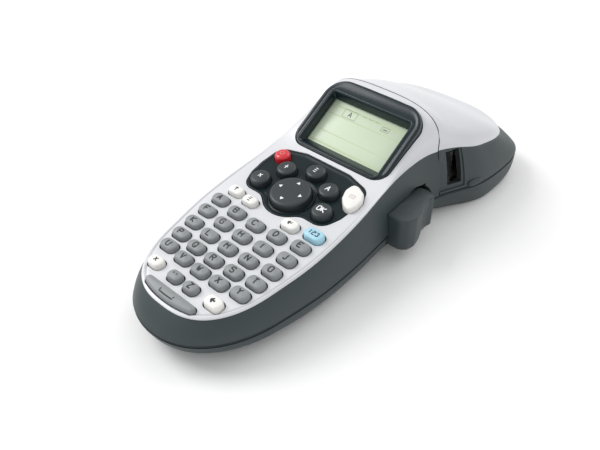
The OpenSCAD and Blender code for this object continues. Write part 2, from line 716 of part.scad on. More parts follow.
module print_chassis() {
  color("#d9d6cc") difference() {
    union() {
      translate([0, 0, chassis_z]) linear_extrude(chassis_t) intersection() {
        polygon(closed(half_outline(4.4, 3.2, 3, 5, rear_cap, rear_n)));
        translate([-50, seam_y + 0.4]) square([100, 54]);
      }
      for (p = [[-30, 43], [-31, 72], [14.5, 70]])
        translate([p[0], p[1], chassis_top]) cylinder(r = 1.8, h = 9, $fn = 32);
    }
    translate([platen_at[0], platen_at[1], 0]) cylinder(r = 1.16, h = 20, $fn = 40);
    translate([pinion_at[0], pinion_at[1], 0]) cylinder(r = 1.1, h = 20, $fn = 40);
  }
}
cassette_low = chassis_top + 0.1;
cassette_high = 27.1;
tape_low = 14.8;
module cassette_plan() {
  hull() {
    translate([-8, 57]) circle(r = 18.6, $fn = 72);
    translate([-24, 47]) circle(r = 3.5, $fn = 32);
  }
  translate([-20, path_y - 2.4]) square([28.5, 14]);
}
module tape_cassette() {
  color("#e6e6e2") {
    translate([0, 0, cassette_low]) linear_extrude(cassette_high - cassette_low) cassette_plan();
    translate([8.4, path_y - 0.05, tape_low]) cube([20.8, 0.1, 12]);
  }
}
blade_x = 30.4;
module cutter_blade() {
  color("#c9ccd0") {
    translate([blade_x, path_y + 2.3, chassis_top + 0.1]) cube([0.8, 6, 18.5]);
    translate([blade_x - 0.7, path_y + 4.3, chassis_top + 0.1]) cube([2.2, 3, 4]);
  }
}

rear_housing();
front_housing();
face_plate();
screen_bezel();
lcd_module();
circuit_board();
battery_cover();
batteries();
cassette_door();
tape_cassette();
print_chassis();
platen_roller();
motor_pinion();
drive_motor();
print_head();
cutter_lever();
cutter_blade();
screws();
key_space();
key_power();
key_print();
nav_pad();
for (i = [0 : len(LETTERS) - 1]) letter_key(i);
for (p = PILLS) pill_by_name(p[0]);
for (i = [0 : len(FN_KEYS) - 1]) fn_key(i);
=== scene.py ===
from collections import namedtuple
from math import atan, cos, exp, hypot, pi, radians, sin, sqrt, tan, tau

import bmesh
import bpy
from mathutils import Matrix, Vector
from mathutils.bvhtree import BVHTree
from mathutils.interpolate import poly_3d_calc


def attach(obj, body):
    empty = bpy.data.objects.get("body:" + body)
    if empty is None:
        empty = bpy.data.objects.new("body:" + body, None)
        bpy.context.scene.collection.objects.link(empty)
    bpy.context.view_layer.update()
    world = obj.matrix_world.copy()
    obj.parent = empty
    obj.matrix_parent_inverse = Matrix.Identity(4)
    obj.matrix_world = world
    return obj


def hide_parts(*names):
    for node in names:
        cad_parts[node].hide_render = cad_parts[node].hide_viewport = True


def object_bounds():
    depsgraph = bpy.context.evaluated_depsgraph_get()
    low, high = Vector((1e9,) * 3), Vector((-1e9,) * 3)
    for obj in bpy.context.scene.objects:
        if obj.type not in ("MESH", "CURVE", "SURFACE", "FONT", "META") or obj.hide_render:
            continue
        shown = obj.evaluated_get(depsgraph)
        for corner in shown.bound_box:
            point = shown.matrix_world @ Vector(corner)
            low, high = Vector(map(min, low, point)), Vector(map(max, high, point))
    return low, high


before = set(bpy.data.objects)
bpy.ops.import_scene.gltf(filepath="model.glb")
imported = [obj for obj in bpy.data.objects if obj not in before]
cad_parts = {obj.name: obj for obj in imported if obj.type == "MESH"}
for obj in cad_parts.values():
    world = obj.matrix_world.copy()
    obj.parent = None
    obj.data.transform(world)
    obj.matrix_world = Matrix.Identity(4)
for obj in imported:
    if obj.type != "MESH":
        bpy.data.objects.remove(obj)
cad_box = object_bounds()
scene = bpy.context.scene
MM = 0.001

# ---- form, in mm
FACE_TILT = radians(7.18)
SCREEN_TILT = radians(30.57)
BODY_LEN = 195.0
FRONT_Y = -BODY_LEN / 2
REAR_Y = BODY_LEN / 2 - 0.9
ROW_Y = FRONT_Y + 38.9
SEAM_Y = ROW_Y + 91.1
SEAM_GAP = 0.25
SEAM_SHOW = 0.5
FACE_END = SEAM_Y - SEAM_SHOW
PARTING_Z = 12.0
FACE_Z = 24.3
HUMP_Y = -1.5
HUMP_Z = 32.1
GRIP_W = 33.2
HEAD_W = 42.6
WALL = 2.0
PLATE_T = 1.0
DECK_T = 1.6
DECK_TOP = PLATE_T + 0.2
# length and fullness of the rounded ends, of the parting line and of the silver edge
FRONT_CAP = 44.0
REAR_CAP, REAR_N = 28.7, 3.4
EDGE_CAP, EDGE_REAR_N, EDGE_E = 28.9, 2.83, 2.6
# how far the silver edge lies inside the parting line
SIDE_IN = 3.6
HEAD_IN = 5.6
NOSE_IN = 6.2
TAIL_IN = 7.3
# sideways swell of the walls under the face and under the lid
WALL_SWELL = 0.8
LID_SWELL = 0.5
# rise and length of the face's upward sweep at its rounded end
NOSE_LIFT, NOSE_LEN = 1.3, 24.0
STEPS = 120
# reach of the tools that pass right through the body
WIDE, FAR = 60, 120


def nose(y):
    """Share of the way from the lower letter rows to the rounded end."""
    return max(0.0, ROW_Y - 8 - y) / NOSE_LEN


def face_line(y):
    return FACE_Z + tan(FACE_TILT) * (y - ROW_Y) + NOSE_LIFT * nose(y) ** 1.5


def face_angle(y):
    return atan(tan(FACE_TILT) - 1.5 * NOSE_LIFT / NOSE_LEN * sqrt(nose(y)))


def hump_line(y):
    return HUMP_Z + tan(SCREEN_TILT) * (y - HUMP_Y)


def ramp(y, y0, y1):
    return min(1.0, max(0.0, (y - y0) / (y1 - y0)))


def ease(y, y0, y1):
    t = ramp(y, y0, y1)
    return t * t * (3 - 2 * t)


def smooth_line(stations):
    """Cubic curve through the stations, level past its two ends."""
    last = len(stations) - 1

    def slope(k):
        if k <= 0 or k >= last:
            return 0.0
        return (stations[k + 1][1] - stations[k - 1][1]) / (stations[k + 1][0] - stations[k - 1][0])

    def at(y):
        k = max([i for i in range(last) if i == 0 or y >= stations[i][0]])
        h = stations[k + 1][0] - stations[k][0]
        t = min(1.0, max(0.0, (y - stations[k][0]) / h))
        t2, t3 = t * t, t * t * t
        return ((2 * t3 - 3 * t2 + 1) * stations[k][1] + (t3 - 2 * t2 + t) * h * slope(k)
                + (3 * t2 - 2 * t3) * stations[k + 1][1] + (t3 - t2) * h * slope(k + 1))

    return at


width_at = smooth_line([
    (-65, GRIP_W - 1.8), (-43, GRIP_W), (-25, GRIP_W), (-3, GRIP_W - 1.5), (18, GRIP_W - 2.2),
    (31, GRIP_W - 0.8), (41, HEAD_W - 6.2), (52, HEAD_W - 1.6), (64, HEAD_W), (80, HEAD_W)])
edge_at = smooth_line([
    (-98, face_line(-98) - 0.6), (-86, face_line(-86) - 0.7), (-60, face_line(-60) - 0.8),
    (-16, face_line(-16) - 0.4), (4, 33.4), (18, 34.3), (28, 34.1), (40, 32.4), (54, 28.6), (70, 25.5),
    (84, 22.6)])
head_crown = smooth_line([(31.5, 51.8), (40.5, 47.2), (54.5, 41.7), (68.5, 34.6), (82.5, 28.4)])
hump_foot = smooth_line([
    (HUMP_Y - 14, face_line(HUMP_Y - 14)), (HUMP_Y - 5, face_line(HUMP_Y - 5)),
    (HUMP_Y + 3, hump_line(HUMP_Y + 3)), (HUMP_Y + 12, hump_line(HUMP_Y + 12))])


def crown(y):
    """Height of the middle line of the silver skin."""
    if y < HUMP_Y - 5:
        return face_line(y)
    if y < HUMP_Y + 3:
        return hump_foot(y)
    if y < SEAM_Y - 1:
        return hump_line(y)
    return head_crown(y)


def roundness(y):
    """Exponent of the skin's cross-section: the larger, the flatter its top."""
    return 2.5 + 1.7 * ramp(y, -6, 5) - 1.2 * ramp(y, 20, SEAM_Y) - 0.86 * ramp(y, SEAM_Y, SEAM_Y + 10)


SPINE_FRONT = FRONT_Y + NOSE_IN + FRONT_CAP
SPINE_REAR = REAR_Y - 36.2


def round_end(d, a, n):
    return 1.0 if d >= a else max(0.0, 1 - ((a - d) / a) ** n) ** (1 / n)


def half_outline(i0, i1, f, r, rear_a, rear_e, front_e=2.2):
    """Right half of a plan outline: side insets of grip and head, end insets, form of the ends."""
    y0, y1 = FRONT_Y + f, REAR_Y - r
    out = []
    for k in range(STEPS + 1):
        y = (y0 + y1) / 2 - (y1 - y0) / 2 * cos(pi * k / STEPS)
        y = min(y1, max(y0, y))
        inset = i0 + (i1 - i0) * ramp(y, SEAM_Y, SEAM_Y + 25)
        x = (width_at(y) - inset) * round_end(y - y0, FRONT_CAP, front_e) * round_end(y1 - y, rear_a, rear_e)
        out.append((x, y))
    return out


def closed(half):
    return half + [(-x, y) for x, y in half[-2:0:-1]]


def low_ring(z, t=0.0):
    """Outline of the lower moulding at height z, curving in towards the foot."""
    g = max(0.0, 1 - z / PARTING_Z)
    return [(x, y, z) for x, y in closed(half_outline(
        7 * g ** 2.73 + t, 1.8 * g ** 4.13 + t, 10.5 * g ** 2.08 + t, 2.5 * g ** 3.67 + t, REAR_CAP, REAR_N))]


def parting_ring(t, z=PARTING_Z):
    return [(x, y, z) for x, y in closed(half_outline(t, t, t, t, REAR_CAP, REAR_N))]


def edge_half(t):
    return half_outline(SIDE_IN + t, HEAD_IN + t, NOSE_IN + t, TAIL_IN + t, EDGE_CAP, EDGE_REAR_N, EDGE_E)


def edge_ring(t, drop):
    return [(x, y, edge_at(y) - drop) for x, y in closed(edge_half(t))]


def between(ring_a, ring_b, share, bulge=0.0):
    """A ring part of the way between two, pushed out sideways by bulge at mid height."""
    out = []
    push = bulge * 4 * share * (1 - share)
    for a, b in zip(ring_a, ring_b):
        x, y, z = (a[i] + (b[i] - a[i]) * share for i in range(3))
        ahead = y - min(max(y, SPINE_FRONT), SPINE_REAR)
        n = hypot(x, ahead) or 1.0
        out.append((x + push * x / n, y + push * ahead / n, z))
    return out


def bell(x, middle, spread):
    return exp(-((x - middle) / spread) ** 2)


def lip(s, y):
    """Small rolled lip of the face plate and the groove inside it, fading out before the screen."""
    return (1 - ramp(y, -30, -4)) * (0.24 * bell(s, 0.981, 0.009) - 0.34 * bell(s, 0.958, 0.006))


def skin_ring(s, t, drop, square=0.0, lipped=False):
    """Ring of the silver skin at share s of the way out from the spine."""
    out = []
    for x, y in closed(edge_half(t)):
        spine = min(max(y, SPINE_FRONT), SPINE_REAR)
        m = roundness(y) + square
        here = spine + s * (y - spine)
        low, high = edge_at(y) - drop, crown(here) - drop
        z = low + (high - low) * (1 - s ** m) ** (1 / m)
        out.append((s * x, here, z + (lip(s, y) if lipped else 0.0)))
    return out


SKIN_STEPS = [0.998, 0.994, 0.988, 0.984, 0.981, 0.977, 0.970, 0.964, 0.961, 0.958, 0.955, 0.952, 0.945, 0.93,
              0.91, 0.88, 0.85, 0.81, 0.77, 0.72, 0.66, 0.60, 0.53, 0.46, 0.38, 0.30, 0.22, 0.14, 0.07]
COARSE_STEPS = [0.99, 0.96, 0.91, 0.84, 0.74, 0.58, 0.38, 0.16]


def skin_z(x, y):
    """Height of the silver skin over a point of its plan."""
    yp, s = y, 0.5
    for _ in range(8):
        ahead = max(0.0, SPINE_FRONT - y)
        side = abs(x) / (width_at(yp) - SIDE_IN)
        s = min(0.9999, (side ** EDGE_E + (ahead / FRONT_CAP) ** EDGE_E) ** (1 / EDGE_E))
        yp = SPINE_FRONT - ahead / max(s, 1e-3) if ahead else y
    m = roundness(yp)
    low, high = edge_at(yp), crown(y)
    return low + (high - low) * (1 - s ** m) ** (1 / m)


# ---- mesh tools
def linked(name, data):
    ob = bpy.data.objects.new(name, data)
    scene.collection.objects.link(ob)
    return ob


def mesh_object(name, points, faces, materials=(), indices=None):
    me = bpy.data.meshes.new(name)
    me.from_pydata([(x * MM, y * MM, z * MM) for x, y, z in points], [], faces)
    for m in materials or (SLATE,):
        me.materials.append(m)
    if indices:
        me.polygons.foreach_set("material_index", indices)
    ob = linked(name, me)
    bm = bmesh.new()
    bm.from_mesh(me)
    bmesh.ops.remove_doubles(bm, verts=bm.verts, dist=1e-7)
    bmesh.ops.recalc_face_normals(bm, faces=bm.faces)
    bm.to_mesh(me)
    bm.free()
    return ob


def walls(rings, bands):
    """Faces between neighbouring rings, with the material index of each."""
    m = len(rings[0])
    faces, indices = [], []
    for r in range(len(rings) - 1):
        for k in range(m):
            a, b = r * m + k, r * m + (k + 1) % m
            faces.append((a, b, b + m, a + m))
            indices.append(bands[r])
    return faces, indices


def stack(name, rings, materials=(), bands=None):
    """A solid from a pile of plan outlines, stitched left to right across its two ends."""
    m = len(rings[0])
    bands = bands or [0] * (len(rings) - 1)
    faces, indices = walls(rings, bands)
    for base, index in ((0, bands[0]), ((len(rings) - 1) * m, bands[-1])):
        for k in range(m // 2):
            quad = [base + k, base + k + 1, base + (m - k - 1) % m, base + (m - k) % m]
            faces.append(tuple(dict.fromkeys(quad)))
            indices.append(index)
    return mesh_object(name, [p for ring in rings for p in ring], faces, materials, indices)


def loft(name, rings, materials=()):
    """A solid from rings of equal length, with flat ends."""
    m = len(rings[0])
    faces, indices = walls(rings, [0] * (len(rings) - 1))
    faces.append(tuple(range(m)))
    faces.append(tuple(range((len(rings) - 1) * m, len(rings) * m)))
    return mesh_object(name, [p for ring in rings for p in ring], faces, materials, indices + [0, 0])


def tilted(points, x0, y0, z0, angle):
    """Points given on a sloped face, brought to where that face is."""
    c, s = cos(angle), sin(angle)
    return [(x0 + u, y0 + v * c - w * s, z0 + v * s + w * c) for u, v, w in points]


def prism(outline, z0, z1, place=None):
    """A tool with a straight wall, upright or square to a sloped face."""
    rings = [[(x, y, z) for x, y in outline] for z in (z0, z1)]
    if place:
        rings = [tilted(r, *place) for r in rings]
    return loft("tool", rings)


def block(x0, x1, y0, y1, z0, z1, place=None):
    return prism([(x0, y0), (x1, y0), (x1, y1), (x0, y1)], z0, z1, place)


def slab(y0, y1, z0, z1):
    """A block wider than the body."""
    return block(-WIDE, WIDE, y0, y1, z0, z1)


def circle_pts(r, n, a0=0.0, a1=tau, cx=0.0, cy=0.0, end=False):
    m = n - 1 if end else n
    return [(cx + r * cos(a0 + (a1 - a0) * k / m), cy + r * sin(a0 + (a1 - a0) * k / m))
            for k in range(n)]


def rod(cx, cy, r, z0, z1):
    return prism(circle_pts(r, 40, cx=cx, cy=cy), z0, z1)


def cross_rod(x0, x1, y, z, r, n=40):
    return loft("tool", [[(x, v, w) for v, w in circle_pts(r, n, cx=y, cy=z)] for x in (x0, x1)])


def discard(ob):
    spent = ob.data
    bpy.data.objects.remove(ob)
    bpy.data.meshes.remove(spent)


def combine(ob, tool, how="DIFFERENCE"):
    """Cut, join or intersect with a tool, which is used up."""
    mod = ob.modifiers.new("combine", "BOOLEAN")
    mod.operation = how
    mod.solver = "MANIFOLD"
    mod.object = tool
    graph = bpy.context.evaluated_depsgraph_get()
    made = bpy.data.meshes.new_from_object(ob.evaluated_get(graph))
    if len(made.polygons) == 0:
        raise RuntimeError("empty result on " + ob.name)
    ob.modifiers.clear()
    old = ob.data
    ob.data = made
    bpy.data.meshes.remove(old)
    discard(tool)
    return ob


def fuse(ob, tool):
    return combine(ob, tool, "UNION")


def join(parts):
    """One object from several, keeping the first one's name."""
    bpy.context.view_layer.update()
    bm = bmesh.new()
    for p in parts:
        bm.from_mesh(p.data)
    bm.to_mesh(parts[0].data)
    bm.free()
    for p in parts[1:]:
        discard(p)
    return parts[0]


def smooth(ob, degrees=32, merge=0.004):
    """Smooth faces, with every edge sharper than the given angle left crisp."""
    bm = bmesh.new()
    bm.from_mesh(ob.data)
    bmesh.ops.remove_doubles(bm, verts=bm.verts, dist=merge * MM)
    bmesh.ops.dissolve_degenerate(bm, edges=bm.edges, dist=1e-7)
    limit = radians(degrees)
    for f in bm.faces:
        f.smooth = True
    for e in bm.edges:
        e.smooth = len(e.link_faces) == 2 and e.calc_face_angle(0.0) < limit
    bm.to_mesh(ob.data)
    bm.free()
    return ob


def surface_of(ob):
    """The uncut form, kept aside for its smooth normals."""
    me = ob.data
    me.update()
    normals = [v.normal.copy() for v in me.vertices]
    faces = [tuple(f.vertices) for f in me.polygons]
    points = [v.co.copy() for v in me.vertices]
    return BVHTree.FromPolygons(points, faces), points, faces, normals


# a face leaning further than this from the uncut form keeps its own normals
NEAR_FLUSH = 0.86


def shade_like(ob, source, near=0.02):
    """Give every corner that still lies on the uncut form the normal it had there."""
    tree, points, faces, normals = source
    me = ob.data
    kept = [n.vector.copy() for n in me.corner_normals]
    seen = {}
    for f in me.polygons:
        for li, vi in zip(f.loop_indices, f.vertices):
            if vi not in seen:
                at, _, index, dist = tree.find_nearest(me.vertices[vi].co)
                seen[vi] = None
                if dist is not None and dist < near * MM:
                    share = poly_3d_calc([points[k] for k in faces[index]], at)
                    blend = sum((normals[k] * w for k, w in zip(faces[index], share)), Vector())
                    seen[vi] = blend.normalized()
            if seen[vi] is not None and seen[vi].dot(f.normal) > NEAR_FLUSH:
                kept[li] = seen[vi]
    me.normals_split_custom_set(kept)
    return ob


def paint(ob, mat):
    ob.data.materials.clear()
    ob.data.materials.append(mat)
    ob.data.polygons.foreach_set("material_index", [0] * len(ob.data.polygons))


def paint_gap_shade(ob, where):
    """Painted shade: faces hidden in a gap or an opening take a near-black material that stands in for the
    shadow there.
    """
    if GAP_SHADE.name not in ob.data.materials:
        ob.data.materials.append(GAP_SHADE)
    index = ob.data.materials.find(GAP_SHADE.name)
    for f in ob.data.polygons:
        if where(f.center / MM, f.normal):
            f.material_index = index


def done(ob, body, slot, nodes=()):
    """The body a piece rides and the CAD nodes it stands for; the slot argument is not used."""
    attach(ob, body)
    if nodes:
        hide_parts(*nodes)


# ---- materials
def set_inputs(node, values):
    for socket, value in values.items():
        node.inputs[socket].default_value = value


def plastic(name, color, rough, grain=2000, bump=0.03, mottle=0.04, coat=0.0, metal=0.0, spec=0.5, wear=0.0):
    """Moulded plastic: fine moulding grain, uneven gloss, faint colour drift and paler rubbed edges."""
    mat = bpy.data.materials.new(name)
    mat.use_nodes = True
    nt = mat.node_tree
    bsdf = nt.nodes["Principled BSDF"]
    set_inputs(bsdf, {"Metallic": metal, "Specular IOR Level": spec, "Coat Weight": coat,
                      "Coat Roughness": 0.12})

    def add(kind, values):
        node = nt.nodes.new("ShaderNode" + kind)
        set_inputs(node, values)
        return node

    coords = add("TexCoord", {})
    fine = add("TexNoise", {"Scale": grain, "Detail": 3.0})
    broad = add("TexNoise", {"Scale": 38.0, "Detail": 4.0})
    for node in (fine, broad):
        nt.links.new(coords.outputs["Object"], node.inputs["Vector"])
    gloss = add("MapRange", {"From Min": 0.3, "From Max": 0.7, "To Min": max(0.02, rough - 0.05),
                             "To Max": min(1.0, rough + 0.06)})
    nt.links.new(broad.outputs["Fac"], gloss.inputs["Value"])
    nt.links.new(gloss.outputs["Result"], bsdf.inputs["Roughness"])
    tone = add("ValToRGB", {})
    for stop, position, share in zip(tone.color_ramp.elements, (0.35, 0.68), (1 - mottle, 1 + mottle)):
        stop.position = position
        stop.color = [min(1.0, c * share) for c in color] + [1.0]
    mixed = add("Mix", {"Factor": 0.5})
    nt.links.new(fine.outputs["Fac"], mixed.inputs[2])
    nt.links.new(broad.outputs["Fac"], mixed.inputs[3])
    nt.links.new(mixed.outputs[0], tone.inputs["Fac"])
    last = tone.outputs["Color"]
    if wear:
        geo = add("NewGeometry", {})
        edge = add("MapRange", {"From Min": 0.53, "From Max": 0.62, "To Max": wear})
        nt.links.new(geo.outputs["Pointiness"], edge.inputs["Value"])
        rub = add("Mix", {})
        rub.data_type = "RGBA"
        rub.inputs[7].default_value = [min(1.0, c * 1.7 + 0.03) for c in color] + [1.0]
        nt.links.new(edge.outputs["Result"], rub.inputs[0])
        nt.links.new(last, rub.inputs[6])
        last = rub.outputs[2]
    nt.links.new(last, bsdf.inputs["Base Color"])
    relief = add("Bump", {"Strength": bump, "Distance": 0.0002})
    nt.links.new(fine.outputs["Fac"], relief.inputs["Height"])
    nt.links.new(relief.outputs["Normal"], bsdf.inputs["Normal"])
    return mat


SLATE = plastic("slate_satin", (0.036, 0.050, 0.054), 0.45, grain=1400, bump=0.05, mottle=0.05, spec=0.4,
                wear=0.2)
SILVER = plastic("pearl_silver", (0.64, 0.65, 0.675), 0.42, grain=2600, bump=0.035, mottle=0.03, coat=0.15,
                 metal=0.1)
BEZEL = plastic("bezel_gloss", (0.006, 0.015, 0.020), 0.24, grain=700, bump=0.01, mottle=0.08, spec=0.38)
PANEL = plastic("panel_satin", (0.007, 0.015, 0.018), 0.35, grain=1200, mottle=0.06, spec=0.2)
DISPLAY = plastic("display_film", (0.60, 0.70, 0.53), 0.45, grain=3000, bump=0.01, mottle=0.02, coat=0.2)
MARK = plastic("display_mark", (0.06, 0.09, 0.06), 0.6, bump=0.02)
MARK_FAINT = plastic("display_band", (0.52, 0.61, 0.40), 0.6, bump=0.02)
KEY_PAINT = {
    "key_grey": plastic("key_grey", (0.235, 0.25, 0.258), 0.46, grain=1800, bump=0.08, wear=0.15),
    "key_white": plastic("key_white", (0.80, 0.79, 0.76), 0.34, grain=1500, bump=0.04, mottle=0.02),
    "key_blue": plastic("key_blue", (0.36, 0.62, 0.74), 0.34, grain=1500, bump=0.04, mottle=0.03),
    "key_dark": plastic("key_dark", (0.022, 0.029, 0.033), 0.42, grain=1800, bump=0.08, mottle=0.06,
                        wear=0.2),
    "key_red": plastic("key_red", (0.62, 0.012, 0.022), 0.26, grain=1500, coat=0.4)}
INK = plastic("ink_dark", (0.025, 0.026, 0.028), 0.6)
INK_WHITE = plastic("ink_white", (0.86, 0.87, 0.88), 0.5)
INK_FAINT = plastic("ink_faint", (0.50, 0.30, 0.30), 0.5)
# painted shade: near-black stand-in for the shadow inside gaps, grooves and openings
GAP_SHADE = plastic("inner_dark", (0.012, 0.014, 0.015), 0.6, grain=1500, bump=0.05)
STEEL = plastic("plated_steel", (0.58, 0.59, 0.60), 0.28, grain=2200, mottle=0.05, metal=1.0)
BLADE = plastic("blade_steel", (0.72, 0.73, 0.74), 0.18, grain=3000, mottle=0.03, metal=1.0)
BOARD = plastic("board_mask", (0.020, 0.11, 0.045), 0.32, grain=600, bump=0.06, mottle=0.15, coat=0.3)
CELL = plastic("cell_wrap", (0.42, 0.22, 0.07), 0.24, grain=900, mottle=0.08, coat=0.5, metal=0.5)
CASSETTE = plastic("cassette_white", (0.72, 0.72, 0.69), 0.40, grain=1400, bump=0.05, mottle=0.03)
ACETAL = plastic("inner_acetal", (0.62, 0.60, 0.54), 0.45, grain=1200, bump=0.05)
RUBBER = plastic("roller_rubber", (0.018, 0.018, 0.019), 0.75, grain=2400, bump=0.2, mottle=0.1)

# ---- lower moulding and cover
COVER_END = -0.8
COVER_TOP = 2.1
CELL_PITCH = 14.8
BAY_MID = -33.9
BAY_HALF = 2 * CELL_PITCH + 0.6
LEVER_PIVOT = (27.8, -0.6)
LEVER_LOW = 6.8
LEVER_HIGH = 22.0
SCREW_POSTS = [(-17, -76), (17, -76), (-20, 26.4), (20, 26.4)]
HINGE_Y = REAR_Y - 0.5
HINGE_Z = PARTING_Z + 1.5
HINGE_R = 1.4
GROOVE_Z = 11.42
FOOT_IN = 0.5
LOW_LEVELS = [0.0, 0.35, 0.9, 1.6, 2.5, 3.6, 5.0, 6.6, 8.2, 9.8, 11.0]


def low_form(t):
    rings = [low_ring(z, t + (FOOT_IN if z == 0 else 0.0)) for z in LOW_LEVELS]
    rings += [parting_ring(t + 0.42, 11.0), parting_ring(t + 0.55, 11.3), parting_ring(t + 0.85, 11.45)]
    rings += [parting_ring(t + 1.35, 11.5), parting_ring(t + 1.35, 11.88)]
    return stack("tool", rings)


def lever_windows():
    """Opening of the lever: a box at its pivot, with an arch ahead of its paddle."""
    a = block(26.6, 46.6, -3.3, 23.7, LEVER_LOW - 0.8, LEVER_HIGH + 0.6)
    arch = cross_rod(26.6, 46.6, 16.6, PARTING_Z, 11.6, 96)
    combine(arch, block(20, 50, 3.6, 29.6, LEVER_LOW - 0.8, LEVER_LOW + 19.2), "INTERSECT")
    return fuse(a, arch)


def lever_bay(z0, z1):
    """Walls that close the inside off from the lever."""
    return fuse(block(23, 24.2, -4.4, 31, z0, z1), block(23, 35, -4.4, -3.3, z0, z1))


def rear_shell():
    ob = low_form(0)
    ob.name = "lower_shell"
    combine(ob, stack("tool", [low_ring(WALL, WALL), low_ring(3.6, WALL), low_ring(7, WALL),
                               parting_ring(WALL), parting_ring(WALL, PARTING_Z + 2)]))
    roof = COVER_TOP + 0.15
    combine(ob, slab(-FAR, COVER_END + 0.2, -1, roof))
    inside = slab(-FAR, COVER_END + 2.2, roof, 4)
    for y in (BAY_MID - BAY_HALF - 1.2, BAY_MID + BAY_HALF):
        fuse(inside, block(-26, 26, y, y + 1.2, 3, PARTING_Z - 0.4))
    fuse(inside, lever_bay(3, PARTING_Z - 0.12))
    fuse(inside, rod(LEVER_PIVOT[0], LEVER_PIVOT[1], 2.6, 2.3, 6.4))
    for x, y in SCREW_POSTS:
        fuse(inside, rod(x, y, 3.4, roof, roof + 7.5))
    for x, y in ((-31, 60), (33.5, 66), (0, 82)):
        fuse(inside, rod(x, y, 2.6, 1, 8))
    combine(inside, low_form(WALL / 2), "INTERSECT")
    fuse(ob, inside)
    for s in (-1, 1):
        ends = (s * 7.4 - 2, s * 7.4 + 2)
        knuckle = cross_rod(*ends, HINGE_Y, HINGE_Z, HINGE_R)
        web = loft("tool", [[(x, HINGE_Y - 2.2, 6.5), (x, HINGE_Y, 6.5), (x, HINGE_Y + HINGE_R, HINGE_Z),
                             (x, HINGE_Y - 0.6, HINGE_Z + 0.6)] for x in ends])
        fuse(ob, fuse(knuckle, web))
    combine(ob, block(-26.6, 26.6, BAY_MID - BAY_HALF, BAY_MID + BAY_HALF, -1, 29))
    for x, y in SCREW_POSTS:
        combine(ob, rod(x, y, 2.7, -1, 5.2 if y < 0 else 2.7))
        combine(ob, rod(x, y, 1.45, -1, 13))
    combine(ob, lever_windows())
    combine(ob, cross_rod(-12, 12, HINGE_Y, HINGE_Z, 0.9))
    combine(ob, block(-5.1, 5.1, HINGE_Y - 3, HINGE_Y + 3, 8.6, 14.6))
    paint(ob, SLATE)
    # painted shade: faces above the groove floor, except round the hinge, are made near-black for the shadow in
    # the parting groove
    paint_gap_shade(ob, lambda c, n: c.z > GROOVE_Z and (c.y < 90 or (n.z > -0.5 and abs(c.x) > 12)))
    done(smooth(ob), "housing", "slate_plastic", ["rear_housing"])


rear_shell()


def battery_cover():
    levels = (0.0, 0.35, 0.9, 1.5, COVER_TOP)
    ob = stack("bay_cover", [low_ring(z, FOOT_IN if z == 0 else 0.0) for z in levels])
    combine(ob, slab(COVER_END, FAR, -5, 10))
    for k in range(5):
        y = COVER_END - 9 + 1.6 * k
        combine(ob, block(-9, 9, y, y + 0.8, -1, 0.5))
    paint(ob, SLATE)
    done(smooth(ob), "cover", "slate_plastic", ["battery_cover"])


battery_cover()


# ---- keys' plan outlines
def pill_pts(length, wid, inset, n=8, corner=0.88):
    """Key outline: a rounded bar whose ends are a little flat."""
    w, h = length / 2 - inset, max(0.02, wid / 2 - inset)
    r = min(h, max(0.02, wid / 2 * corner - inset * 0.6))
    q = pi / 2
    out = []
    for sx, sy, a in ((1, -1, -q), (1, 1, 0), (-1, 1, q), (-1, -1, 2 * q)):
        out += circle_pts(r, n, a, a + q, cx=sx * (w - r), cy=sy * (h - r), end=True)
    return out


BEND_R = 42.0
BEND_HALF = radians(15.2)


def bean_pts(wid, inset, n=24):
    """Space bar: straight above, curved below."""
    r = max(0.02, wid / 2 - inset)
    down = -pi / 2
    cx, cy = BEND_R * sin(BEND_HALF), BEND_R - BEND_R * cos(BEND_HALF)
    out = circle_pts(BEND_R + r, n, down - BEND_HALF, down + BEND_HALF, cy=BEND_R, end=True)
    out += circle_pts(r, 14, down + BEND_HALF, -down, cx=cx, cy=cy, end=True)[1:]
    out += circle_pts(r, 14, -down, tau + down - BEND_HALF, cx=-cx, cy=cy, end=True)[:-1]
    return out


# print key: corner points of its outline, and how far they are rounded
LENS = [(-4.2, 6.2), (-1.5, 6.5), (2.5, 4.5), (4.4, 1), (4.6, -2.9), (3.4, -6.5), (-0.4, -5.1), (-3.2, -2.3),
        (-4.8, 1.9)]
LENS_ROUND = 1.4


def to_segment(px, py, a, b):
    dx, dy = b[0] - a[0], b[1] - a[1]
    t = ((px - a[0]) * dx + (py - a[1]) * dy) / (dx * dx + dy * dy)
    t = min(1.0, max(0.0, t))
    return hypot(px - a[0] - t * dx, py - a[1] - t * dy)


def inside_poly(px, py, poly):
    hit = False
    for k, (x0, y0) in enumerate(poly):
        x1, y1 = poly[(k + 1) % len(poly)]
        if (y0 > py) != (y1 > py) and px < (x1 - x0) * (py - y0) / (y1 - y0) + x0:
            hit = not hit
    return hit


def poly_sdf(px, py, poly):
    """Distance from a closed outline, less than nothing inside it."""
    d = min(to_segment(px, py, poly[k], poly[(k + 1) % len(poly)]) for k in range(len(poly)))
    return -d if inside_poly(px, py, poly) else d


def level_pts(sdf, level, cx, cy, reach, n):
    """Where rays from a middle point cross one level of a distance field."""
    out = []
    for k in range(n):
        a = tau * k / n
        lo, hi = 0.0, reach
        for _ in range(26):
            mid = (lo + hi) / 2
            if sdf(cx + mid * cos(a), cy + mid * sin(a)) < level:
                lo = mid
            else:
                hi = mid
        out.append((cx + lo * cos(a), cy + lo * sin(a)))
    return out


def lens_level(poly, level, n):
    return level_pts(lambda x, y: poly_sdf(x, y, poly), level, 0.2, -0.2, 12, n)


LENS_CORE = lens_level(LENS, -LENS_ROUND, 72)


def lens_pts(inset):
    return lens_level(LENS_CORE, LENS_ROUND - inset, 64)


# ---- key layout
KEY_ROOT = -PLATE_T - DECK_T - 0.1 - 0.8
KEY_GAP = 0.3
SHOWN_GAP = 0.42
LETTERS = "ABCDEFGHIJKLMNOPQRSTUVWXY"
